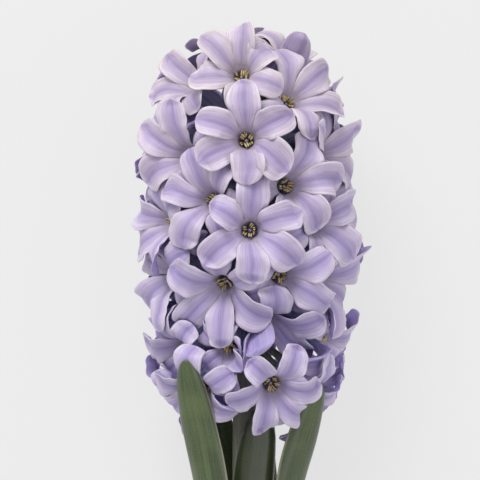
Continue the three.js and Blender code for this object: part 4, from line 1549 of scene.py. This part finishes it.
@dataclass(frozen=True)
class Stem:
    """The flower stem with its stalks and the small bracts at their feet."""

    plant: PlantFrame
    material: Material
    bract: Material
    sides: int = 36
    rows: int = 70
    ridges: int = 9
    ridge_depth: float = 0.012
    radius: float = 5.2
    cut_radius: float = 5.7
    top: float = 213.0
    rounded: float = 4.0
    top_rows: tuple[float, ...] = (1.4, 2.6, 3.5, 3.9)
    top_swell: float = 0.35
    swell_height: float = 6.0
    stalk_radius: float = 1.3
    stalk_swell: float = 1.2
    stalk_sides: int = 10
    stalk_joints: int = 7
    stalk_colour: float = 0.62
    bract_length: float = 4.0
    bract_width: float = 1.8
    bract_thinness: float = 0.4
    bract_change: float = 0.25
    bract_seed: int = 11
    turned_down: float = -0.2
    bract_up: Run = (0.75, 0.66)
    bract_down: Run = (0.85, -0.5)

    def profile(self) -> Array:
        """Returns heights up the stem with its radii."""
        r, top = self.radius, self.top
        below = [[0, r + 0.9], [40, r + 0.5], [110, r], [150, r - 0.6], [185, r - 1.8]]
        return np.array([*below, [top - self.rounded, r - 3.2], [top, 0.2]])

    def build_stem(self) -> Object:
        """Returns the stem's piece, faintly ridged."""
        at, radii = self.profile().T
        last = self.top - self.rounded
        heights = np.concatenate([np.linspace(0.5, last, self.rows), last + np.array(self.top_rows)])
        angles = around_circle(self.sides)
        near_top = smoothstep(self.top - self.swell_height, self.top, heights)
        radius = np.interp(heights, at, radii) * (1 + self.top_swell * near_top * (1 - near_top))
        wide = radius[:, None] * (1 + self.ridge_depth * np.cos(self.ridges * angles))
        rows = np.stack([wide * np.sin(angles), heights[:, None] + 0 * wide, wide * np.cos(angles)], axis=-1)
        rim = self.cut_radius * np.stack([np.sin(angles), 0 * angles, np.cos(angles)], axis=-1)
        points = np.vstack([rim, rows.reshape(-1, 3), [[0, 0, 0]], [[0, self.top, 0]]])
        count = len(heights) + 1
        attributes = {
            "along": np.clip(points[:, 1] / self.top, 0, 1),
            "around": np.concatenate([np.tile(0.5 + 0.5 * np.cos(angles), count), [0.5, 0.5]]),
        }
        faces = ring_faces(count, self.sides, clockwise=True)
        return add_mesh("stem_skin", self.plant.place(points), faces, [self.material], attributes)

    def stalk_tree(self, sizes: Sizes) -> Tree:
        """Returns the tree that makes a round stalk of every line of its carrier."""
        tree, add, given, metres = new_tree("stalks", sizes)
        line = add("GeometryNodeMeshToCurve", {"Mesh": given["Geometry"]})
        fine = add("GeometryNodeResampleCurve", {"Curve": line, "Count": given["Joints"]})
        along = add("GeometryNodeSplineParameter", out="Factor")
        flare = add("ShaderNodeValToRGB", [along], stops=[(0.0, 1.0), (0.3, 0.8), (0.75, 0.78), (1.0, 0.98)])
        thick = add("ShaderNodeMath", [flare, self.stalk_swell], operation="MULTIPLY")
        shaped = add("GeometryNodeSetCurveRadius", {"Curve": fine, "Radius": thick})
        stored = {"Geometry": shaped, "Name": "along", "Value": self.stalk_colour}
        marked = add("GeometryNodeStoreNamedAttribute", stored, data_type="FLOAT", domain="POINT")
        circle = {"Resolution": given["Sides"], "Radius": metres["Stalk radius"]}
        ring = add("GeometryNodeCurvePrimitiveCircle", circle)
        swept = {"Curve": marked, "Profile Curve": ring, "Scale": thick, "Fill Caps": True}
        real = add("GeometryNodeRealizeInstances", [add("GeometryNodeCurveToMesh", swept)])
        smooth = add("GeometryNodeSetShadeSmooth", [real])
        return end_tree(tree, add("GeometryNodeSetMaterial", {"Geometry": smooth, "Material": self.material}))

    def build_stalks(self, florets: list[Floret]) -> Object:
        """Builds every floret's stalk, from inside the stem to inside the tube, as one piece.

        Args:
            florets: The head's florets.

        Returns:
            The piece.
        """
        in_stem, in_tube = 1.5, 0.4
        ends = np.vstack([np.array([f.root + in_stem * f.way, f.joint + in_tube * f.way]) for f in florets])
        lines = tuple((2 * i, 2 * i + 1) for i in range(len(florets)))
        carrier = add_mesh("stalk_lines", self.plant.place(ends), [], [], edges=lines)
        sizes = {"Stalk radius": self.stalk_radius, "Sides": self.stalk_sides, "Joints": self.stalk_joints}
        return finish_nodes("stalks", carrier, self.stalk_tree(sizes), sizes)

    def bract_tree(self, sizes: Sizes) -> Tree:
        """Returns the tree that sets a small pointed scale on every point of its carrier."""
        tree, add, given, metres = new_tree("bracts", sizes)
        cone = {"Vertices": 10, "Side Segments": 5, "Radius Top": 0.04, "Radius Bottom": 0.5, "Depth": 1.0}
        scale = add("GeometryNodeMeshCone", cone, fill_type="TRIANGLE_FAN")
        thin = add("ShaderNodeMath", [metres["Bract width"], self.bract_thinness], operation="MULTIPLY")
        size = add("ShaderNodeCombineXYZ", [thin, metres["Bract width"], metres["Bract length"]])
        flat = add("GeometryNodeTransform", {"Geometry": scale, "Scale": size})
        smooth = set_on_points(add, given, flat, True)
        return end_tree(tree, add("GeometryNodeSetMaterial", {"Geometry": smooth, "Material": self.bract}))

    def build_bracts(self, florets: list[Floret]) -> Object:
        """Builds the bracts below the stalks' feet as one piece.

        Args:
            florets: The head's florets.

        Returns:
            The piece.
        """
        at, radii = self.profile().T
        off_stem, below_stalk, out_of_foot = 0.6, 0.5, 1.2
        places, ways, inwards = [], [], []
        for f in florets:
            radius = float(np.interp(f.root[1], at, radii))
            flat = np.array([math.sin(f.turn), 0.0, math.cos(f.turn)])
            aside, rise = self.bract_up if f.way[1] > self.turned_down else self.bract_down
            way = aside * flat + rise * UP
            way = way / np.linalg.norm(way)
            foot = f.root + (radius + off_stem) * flat - (self.stalk_radius + below_stalk) * UP
            places.append(foot + out_of_foot * way)
            ways.append(way)
            inwards.append(np.cross(way, np.cross(flat, UP)))
        carrier = self.plant.carry("bract_places", places, ways, inwards)
        sizes = {
            "Bract length": self.bract_length,
            "Bract width": self.bract_width,
            "Size change": self.bract_change,
            "Seed": self.bract_seed,
        }
        return finish_nodes("bracts", carrier, self.bract_tree(sizes), sizes)

    def build(self, florets: list[Floret]) -> None:
        """Builds the stem, and the stalks and bracts of the florets."""
        keep(self.build_stem(), Slot.STEM, "stem")
        keep(self.build_stalks(florets), Slot.STEM)
        keep(self.build_bracts(florets), Slot.STEM)


# Leaves


@dataclass(frozen=True)
class LeafFinish:
    """Fleshy bulb leaf: a glossy, waxy green skin with parallel veins and a thin pale margin.

    The eye sees a soft broad highlight from its gloss, helped by a painted lighter middle, fine lengthwise
    lines and a faint speckle.
    """

    green: str = "#4b5a38"
    deep: str = "#36432a"
    fresh: str = "#647247"
    margin: str = "#b4b296"
    roughness: float = 0.3
    half_width_mm: float = 7.0
    vein_mm: float = 0.45
    vein_breaks: float = 3.0
    vein_sets: float = 30.0
    speckle_mm: float = 0.35
    patches_per_metre: float = 55.0

    def build(self) -> Material:
        """Returns the material. It reads across, along and shade from the mesh."""
        material, add = new_material("bulb_leaf")
        keys = ("across", "along", "shade")
        across, along, shade = (add("ShaderNodeAttribute", out="Fac", attribute_name=key) for key in keys)
        spacing = self.half_width_mm / self.vein_mm
        spread = [(across, spacing), (along, self.vein_breaks), (shade, self.vein_sets)]
        veins = vein_noise(add, spread, 2.0)
        where = add("ShaderNodeTexCoord", out="Object")
        fine = 1 / (self.speckle_mm * MM)
        speckle = add("ShaderNodeTexNoise", {"Vector": where, "Scale": fine, "Detail": 2.0})
        patches = add("ShaderNodeTexNoise", {"Vector": where, "Scale": self.patches_per_metre, "Detail": 3.0})
        rgba = {"out": 2, "data_type": "RGBA"}
        greens = [(0.32, self.deep), (0.5, self.green), (0.72, self.fresh)]
        lines = add("ShaderNodeValToRGB", [veins], stops=greens)
        flat = add("ShaderNodeMix", {0: 0.3, 6: lines, 7: self.green}, **rgba)
        fresher = add("ShaderNodeValToRGB", [patches], stops=[(0.38, 0.0), (0.72, 0.7)])
        patched = add("ShaderNodeMix", {0: fresher, 6: flat, 7: self.fresh}, **rgba)
        off = add("ShaderNodeMath", [across], operation="ABSOLUTE")
        rim = add("ShaderNodeValToRGB", [off], stops=[(0.86, 0.0), (0.955, 0.75), (1.0, 1.0)])
        rimmed = add("ShaderNodeMix", {0: rim, 6: patched, 7: self.margin}, **rgba)
        # Speckle shifts the brightness; painted shade darkens the leaves that lie deep among the others, by
        # their shade, and painted shading darkens the turned sides and lightens the middle
        grain = add("ShaderNodeMapRange", [speckle, 0.3, 0.7, 0.9, 1.1])
        depth = add("ShaderNodeMapRange", {"Value": shade, "To Min": 0.38, "To Max": 1.04})
        # painted shading: the turned sides darker and the middle lighter
        sides = add("ShaderNodeMapRange", [off, 0.25, 0.9, 1.08, 0.82])
        speckle_and_painted_shade = add("ShaderNodeMath", [grain, depth], operation="MULTIPLY")
        light = add("ShaderNodeMath", [speckle_and_painted_shade, sides], operation="MULTIPLY")
        height = add("ShaderNodeMath", [speckle, 0.3, veins], operation="MULTIPLY_ADD")
        smoother, rougher = self.roughness - 0.05, self.roughness + 0.1
        skin = {
            "Base Color": add("ShaderNodeVectorMath", {0: rimmed, "Scale": light}, operation="SCALE"),
            "Roughness": add("ShaderNodeMapRange", [speckle, 0.3, 0.7, smoother, rougher]),
            "Normal": add("ShaderNodeBump", {"Strength": 0.4, "Distance": 0.00012, "Height": height}),
            "Specular IOR Level": 0.6,
            "Coat Weight": 0.22,
            "Coat Roughness": 0.24,
            "Subsurface Weight": 0.08,
            "Subsurface Scale": 0.001,
        }
        return set_skin(material, skin)


@dataclass(frozen=True)
class Leaf:
    """One leaf: its midline's points are right, up the stem and front, from the bulb's base."""

    name: str
    width: float
    swell: float
    # painted shade: the lower it is, the darker the leaf's colour, for a leaf that lies in shade among the
    # others
    shade: float
    path: tuple[tuple[float, float, float], ...]
    flat: float = 0.0


@dataclass(frozen=True)
class Leaves:
    """The five leaves, curled round the stem, with rounded edges and a hooded tip."""

    plant: PlantFrame
    material: Material
    thickness: float = 1.6
    keel: float = 0.2
    base_curl: float = 62.0
    open_curl: float = 40.0
    fullness: float = 0.8
    tip: float = 0.16
    bluntness: float = 5.2
    hood: float = 2.0
    hood_run: Run = (0.86, 1.04)
    tip_hood: float = 0.85
    tip_start: float = 0.965
    tip_depth: float = 0.3
    narrowest: float = 0.02
    swell_run: Run = (0.3, 0.75)
    facing: float = 0.5
    flat_fade: float = 2.8
    tip_thinning: float = 0.75
    edge_thinning: float = 0.3
    ripple: float = 0.25
    ripples: float = 9.0
    rim_power: int = 7
    rows: int = 64
    row_crowding: float = 1.25
    half_columns: int = 14

    def table_at(self, up: float) -> float:
        """Returns the table's depth below the stem's middle at a height up the stem."""
        normal = self.plant.normal()
        return -(self.plant.cut_height + up * normal[1]) / normal[2]

    def all(self) -> tuple[Leaf, ...]:
        """Returns the five leaves."""
        low = self.table_at
        front_left = (
            (-8.9, 0, 4.4), (-9.6, 30, 6.6), (-11, 62, 11.5),
            (-14.6, 90, 18), (-18.9, 112, 24), (-21.4, 125, 28.2),
        )
        front_right = (
            (8.9, 0, 4.4), (9.8, 30, 5.8), (12.2, 60, 8), (16, 86, 10.5), (20.8, 104, 12.5), (24.8, 118, 14),
        )
        front = (
            (0.9, 0, 7.6), (0.9, 30, 8.4), (1.2, 60, 9.6), (2, 84, 10.4), (3.6, 99, 11), (4.8, 109, 11.6),
        )
        back_left = (
            (-3.4, 0, -6.9), (-4.6, 30, -7.6), (-6.2, 58, -8.2),
            (-8.4, 82, -8.4), (-10.2, 98, -8.2), (-11.6, 109, -7.8),
        )
        under = (
            (3.6, 0, -9.6), (3.8, 14, -11.6), (4, 29, -14.4),
            (4, 43, low(43)), (4, 57, low(57)), (4, 71, low(71)),
            (4, 84, -19.4), (4.3, 95, -17.4), (4.6, 103, -15.4),
        )
        # Each leaf's fourth value is its painted shade, low for the leaves that lie in shade
        return (
            Leaf("leaf_front_left", 15.5, 0, 0.95, front_left),
            Leaf("leaf_front_right", 14, 0.16, 0.8, front_right),
            Leaf("leaf_front", 14.5, 0.16, 0.05, front),
            Leaf("leaf_back_left", 15, 0.16, 0.1, back_left),
            Leaf("leaf_under", 16.5, 0, 0.4, under, 0.125),
        )

    def midline(self, path: tuple[tuple[float, float, float], ...], t: Array) -> Array:
        """Follows a centripetal curve through a leaf's points.

        Args:
            path: The points.
            t: Places along it, from 0 to 1.

        Returns:
            The curve's points.
        """
        p = np.array(path, float)
        p = np.vstack([2 * p[0] - p[1], p, 2 * p[-1] - p[-2]])
        at = t * (len(path) - 1)
        n = np.minimum(at.astype(int), len(path) - 2)
        s = (at - n)[:, None]
        a, b, c, d = (p[n + j] for j in range(4))
        gaps = [np.sqrt(np.linalg.norm(y - x, axis=1))[:, None] for x, y in ((a, b), (b, c), (c, d))]
        leave = ((b - a) / gaps[0] - (c - a) / (gaps[0] + gaps[1]) + (c - b) / gaps[1]) * gaps[1]
        arrive = ((c - b) / gaps[1] - (d - b) / (gaps[1] + gaps[2]) + (d - c) / gaps[2]) * gaps[1]
        square, cube = 3 * (c - b) - 2 * leave - arrive, 2 * (b - c) + leave + arrive
        return b + leave * s + square * s**2 + cube * s**3

    def directions(self, leaf: Leaf, t: Array) -> tuple[Array, Array]:
        """Finds a leaf's directions.

        Args:
            leaf: The leaf.
            t: Places along it.

        Returns:
            The directions across the leaf and inward, towards the stem, one a row.
        """
        small = 1e-4
        after, before = (self.midline(leaf.path, np.clip(t + step, 0, 1)) for step in (small, -small))
        along = unit(after - before)
        middle = self.midline(leaf.path, t)
        upper = smoothstep(*self.swell_run, t)
        inward = unit(np.stack([-middle[:, 0] * (1 - self.facing * upper), 0 * t, -middle[:, 2]], axis=1))
        if leaf.flat:
            away = smoothstep(leaf.flat, self.flat_fade * leaf.flat, np.abs(t - 0.5))[:, None]
            inward = inward * away + self.plant.normal() * (1 - away)
        inward = unit(inward - along * (inward * along).sum(1)[:, None])
        return np.cross(along, inward), inward

    def build_one(self, leaf: Leaf, number: int) -> Object:
        """Builds one leaf over its solid.

        Args:
            leaf: The leaf.
            number: Its number, for the seeded draws.

        Returns:
            The leaf's piece.
        """
        t = (1 - (1 - np.arange(self.rows + 1) / self.rows) ** self.row_crowding)[:-1]
        q = np.sin(np.arange(-self.half_columns, self.half_columns + 1) / self.half_columns * math.pi / 2)
        across, inward = self.directions(leaf, t)
        middle = self.midline(leaf.path, t) + self.hood * smoothstep(*self.hood_run, t)[:, None] ** 2 * inward
        outline = np.sqrt(1 - t**self.bluntness) * (1 - self.tip) + self.tip
        half = (leaf.width / 2) * outline * (1 + leaf.swell * smoothstep(*self.swell_run, t))
        closing = np.clip((t - self.tip_start) / (1 - self.tip_start), 0, 1)
        half *= np.sqrt(np.clip(1 - closing**2, self.narrowest, 1))
        curl = np.radians(self.base_curl - (self.base_curl - self.open_curl) * np.sin(math.pi * t))
        radius = half * self.fullness / curl
        thick = np.minimum(self.thickness, self.tip_thinning * radius)
        rounded = np.sqrt(1 - np.abs(q) ** self.rim_power)
        side = np.sign(q)
        swing = side * np.maximum(0, np.abs(q) - self.keel) * curl[:, None] / (1 - self.keel)
        wide = side * np.minimum(self.keel, np.abs(q)) * half[:, None] + radius[:, None] * np.sin(swing)
        waves = np.sin(self.ripples * t + 3 * draw(number, 0, Draw.LEAF_RIPPLE))[:, None]
        ripple = self.ripple * waves * np.abs(q) ** 4 * side
        sheets = []
        for outside in (1, -1):
            thinned = rounded * (1 - self.edge_thinning * np.abs(q) ** 3)
            depth = thick[:, None] / 2 * (1 - outside * thinned) + ripple
            aside = (wide - np.sin(swing) * depth)[..., None] * across[:, None]
            lifted = radius[:, None] * (1 - np.cos(swing)) + np.cos(swing) * depth
            sheets.append(middle[:, None] + aside + lifted[..., None] * inward[:, None])
        back, face = sheets
        loop = np.concatenate([back, face[:, -2:0:-1]], axis=1)
        rows, count, _ = loop.shape
        tip = self.midline(leaf.path, np.array([1.0]))
        tip += (self.tip_depth * thick[-1] + self.tip_hood * self.hood) * inward[-1]
        points = np.vstack([loop.reshape(-1, 3), loop[0].mean(0, keepdims=True), tip])
        attributes = {
            "across": np.concatenate([np.tile(np.concatenate([q, q[-2:0:-1]]), rows), [0, 0]]),
            "along": np.concatenate([np.repeat(t, count), [0, 1]]),
            "shade": np.full(len(points), leaf.shade),
        }
        faces = ring_faces(rows, count)
        return add_mesh(leaf.name + "_blade", self.plant.place(points), faces, [self.material], attributes)

    def build(self) -> list[Object]:
        """Builds every leaf in place of its solid and returns the pieces."""
        pieces = []
        for number, leaf in enumerate(self.all()):
            pieces.append(self.build_one(leaf, number))
            keep(pieces[-1], Slot.LEAF, leaf.name)
        return pieces


# The bulb's base


@dataclass(frozen=True)
class BulbFinish:
    """Cut bulb base: firm cream flesh on top and sides with a brown corky underside."""

    flesh: str = "#ddd3b4"
    scale: str = "#c2b184"
    cork: str = "#7d6242"
    patches_per_metre: float = 500.0

    def build(self) -> Material:
        """Returns the material. It reads depth from the mesh."""
        material, add = new_material("bulb_flesh")
        depth = add("ShaderNodeAttribute", out="Fac", attribute_name="depth")
        where = add("ShaderNodeTexCoord", out="Object")
        mottle = {"Vector": where, "Scale": self.patches_per_metre, "Detail": 4.0, "Roughness": 0.65}
        patches = add("ShaderNodeTexNoise", mottle)
        flesh = add("ShaderNodeValToRGB", [patches], stops=[(0.35, self.flesh), (0.7, self.scale)])
        ragged = add("ShaderNodeMath", [patches, 0.5, depth], operation="MULTIPLY_ADD")
        bottom = add("ShaderNodeValToRGB", [ragged], stops=[(0.8, 0.0), (1.0, 1.0)])
        skin = {
            "Base Color": add("ShaderNodeMix", {0: bottom, 6: flesh, 7: self.cork}, 2, data_type="RGBA"),
            "Normal": add("ShaderNodeBump", {"Strength": 0.6, "Distance": 0.0003, "Height": patches}),
            "Roughness": 0.7,
            "Subsurface Weight": 0.1,
            "Subsurface Scale": 0.001,
        }
        return set_skin(material, skin)


@dataclass(frozen=True)
class BulbBase:
    """The slice of bulb base that holds the leaves: a disc with scale rings and root scars."""

    plant: PlantFrame
    material: Material
    scar: Material
    radius: float = 10.6
    depth: float = 6.0
    chamfer: float = 2.3
    gap: float = 0.3
    sides: int = 60
    scale_rings: int = 8
    first_ring: float = 2.0
    ring_spacing: float = 1.05
    ring_dip: float = 0.28
    scars: int = 46
    scar_size: float = 1.1
    scar_change: float = 0.35
    scar_seed: int = 5
    scar_depth: float = 0.12

    def profile(self) -> list[Run]:
        """Returns the disc's radii with their heights, from its top's middle round to its underside's."""
        top = -self.gap
        low, r = top - self.depth, self.radius
        rings = []
        for n in range(self.scale_rings):
            inner = self.first_ring + self.ring_spacing * n
            rings += [(inner, top), (inner + 0.5, top if n % 2 else top - self.ring_dip)]
        side = [(r - 0.25, top), (r, top - 0.3), (r + 0.02, top - 1.6), (r, low + self.chamfer + 0.2)]
        chamfer = [(r - 0.3, low + self.chamfer - 0.5), (r - 1.3, low + 0.9), (r - 2.3, low + 0.1)]
        return [*rings, *side, *chamfer, (r - 3.0, low), (4.0, low), (1.5, low + 0.1)]

    def build_disc(self) -> Object:
        """Returns the disc's piece."""
        top, low = -self.gap, -self.gap - self.depth
        angles = around_circle(self.sides)
        outward = np.stack([np.sin(angles), 0 * angles, np.cos(angles)], axis=1)
        rings = [r * outward + h * UP for r, h in self.profile()]
        points = np.vstack([*rings, [[0, top, 0], [0, low + 0.15, 0]]])
        faces = ring_faces(len(rings), self.sides)
        attributes = {"depth": np.clip((top - points[:, 1]) / self.depth, 0, 1)}
        return add_mesh("bulb_base_disc", self.plant.place(points), faces, [self.material], attributes)

    def scar_tree(self, sizes: Sizes) -> Tree:
        """Returns the tree that sets a small round scar on every point of its carrier."""
        tree, add, given, metres = new_tree("root_scars", sizes)
        half = add("ShaderNodeMath", [metres["Scar size"], 0.5], operation="MULTIPLY")
        dome = add("GeometryNodeMeshUVSphere", {"Segments": 8, "Rings": 6, "Radius": half})
        smooth = set_on_points(add, given, dome, False)
        return end_tree(tree, add("GeometryNodeSetMaterial", {"Geometry": smooth, "Material": self.scar}))

    def build_scars(self) -> Object:
        """Returns the piece of root scars, a golden turn apart on the underside."""
        height = -self.gap - self.depth + self.scar_depth
        number = np.arange(self.scars)
        away = (self.radius - self.chamfer - 1.0) * np.sqrt((number + 0.5) / self.scars)
        turn = number * math.radians(GOLDEN_TURN)
        points = np.stack([away * np.sin(turn), np.full(self.scars, height), away * np.cos(turn)], axis=1)
        carrier = add_mesh("scar_places", self.plant.place(points), [], [])
        sizes = {"Scar size": self.scar_size, "Size change": self.scar_change, "Seed": self.scar_seed}
        return finish_nodes("root_scars", carrier, self.scar_tree(sizes), sizes)

    def build(self) -> None:
        """Builds the disc and its root scars."""
        keep(self.build_disc(), Slot.BULB, "bulb_base")
        keep(self.build_scars(), Slot.BULB)


# Studio


@dataclass(frozen=True)
class Studio:
    """A pale floor, soft lights and the camera, level with the head and square to the stem."""

    plant: PlantFrame
    floor_colour: str = "#707070"
    floor_glow: float = 0.68
    floor_half: float = 3.0
    floor_grains: float = 900.0
    sky_colour: str = "#f4f3f6"
    ambient: float = 0.62
    key_place: tuple[float, float, float] = (-0.4, 0.95, 0.95)
    key_size: float = 0.7
    key_watts: float = 11.5
    fill_place: tuple[float, float, float] = (0.7, -0.2, 1.1)
    fill_size: float = 0.9
    fill_watts: float = 2.0
    lit_height: float = 165.0
    image_pixels: int = 480
    mouth_depth: float = 22.0
    distance: float = 1600.0
    sensor: float = 36.0

    def build_floor(self) -> None:
        """Lays the floor."""
        material, add = new_material("pale_table")
        where = add("ShaderNodeTexCoord", out="Object")
        grain = add("ShaderNodeTexNoise", {"Vector": where, "Scale": self.floor_grains, "Detail": 2.0})
        skin = {
            "Base Color": self.floor_colour,
            "Normal": add("ShaderNodeBump", {"Strength": 0.05, "Distance": 0.0001, "Height": grain}),
            "Emission Color": "#ffffff",
            "Emission Strength": self.floor_glow,
            "Roughness": 0.9,
            "Specular IOR Level": 0.1,
        }
        half = self.floor_half
        corners = np.array([[-half, -half, 0], [half, -half, 0], [half, half, 0], [-half, half, 0]])
        add_mesh("table_top", corners, [(0, 1, 2, 3)], [set_skin(material, skin)])

    def add_light(self, name: str, place: tuple[float, float, float], size: float, watts: float) -> None:
        """Adds a soft square light that faces the head.

        Args:
            name: The light's name.
            place: Where it stands, in metres.
            size: Its width in metres.
            watts: Its power.
        """
        data = bpy.data.lights.new(name, "AREA")
        data.size = size
        data.energy = watts
        lamp = bpy.data.objects.new(name, data)
        lamp.location = place
        aim = Vector(self.plant.place(np.array([[0.0, self.lit_height, 0.0]]))[0]) - Vector(place)
        lamp.rotation_euler = aim.to_track_quat("-Z", "Y").to_euler()
        bpy.context.scene.collection.objects.link(lamp)

    def build_lights(self) -> None:
        """Sets the soft surrounding light, the large key above the head's end and a weak fill."""
        world = bpy.data.worlds.new("soft_studio")
        world.use_nodes = True
        sky = {"Color": self.sky_colour, "Strength": self.ambient}
        fill(world.node_tree, world.node_tree.nodes["Background"], sky)
        bpy.context.scene.world = world
        self.add_light("key_softbox", self.key_place, self.key_size, self.key_watts)
        self.add_light("fill_softbox", self.fill_place, self.fill_size, self.fill_watts)

    def build_camera(self) -> None:
        """Places the camera so that its frame is the photograph's."""
        data = bpy.data.cameras.new("camera")
        middle = self.image_pixels / 2
        aside = (middle - AXIS_PIXEL) * MM_PER_PIXEL
        up = (CUT_PIXEL - middle) * MM_PER_PIXEL
        data.sensor_width = self.sensor
        data.lens = self.sensor * self.distance / (self.image_pixels * MM_PER_PIXEL)
        data.clip_end = 20
        camera = bpy.data.objects.new("camera", data)
        camera.location = self.plant.place(np.array([[aside, up, self.mouth_depth + self.distance]]))[0]
        camera.rotation_euler = (math.radians(self.plant.lean), 0, 0)
        bpy.context.scene.collection.objects.link(camera)
        bpy.context.scene.camera = camera

    def build(self) -> None:
        """Builds the studio."""
        self.build_floor()
        self.build_lights()
        self.build_camera()
        bpy.context.scene.view_settings.view_transform = "Standard"
        log.info("studio: floor, lights and camera")


def main() -> None:
    """Builds the studio and the flower, part by part, in the frame of the solids."""
    logging.basicConfig(level=logging.INFO, format="%(name)s: %(message)s")
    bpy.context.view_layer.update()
    plant = PlantFrame()
    Studio(plant).build()
    florets = Head(plant).build()
    leaves = Leaves(plant, LeafFinish().build()).build()
    Florets(PetalRule(), plant, PetalFinish().build()).build(florets, leaves)
    backs = FleshFinish("anther_backs", "#5d4f63", "#3d3346").build()
    pistil = FleshFinish("pistil_flesh", "#a5a4ba", "#85839c").build()
    Throats(plant, PollenFinish().build(), backs, pistil).build(florets)
    bract = FleshFinish("bract_flesh", "#c9bda6", "#a2957f").build()
    Stem(plant, StalkFinish().build(), bract).build(florets)
    scar = FleshFinish("root_scar", "#a08560", "#6f5638", roughness=0.8).build()
    BulbBase(plant, BulbFinish().build(), scar).build()
    bpy.context.view_layer.update()


if __name__ == "__main__":
    main()
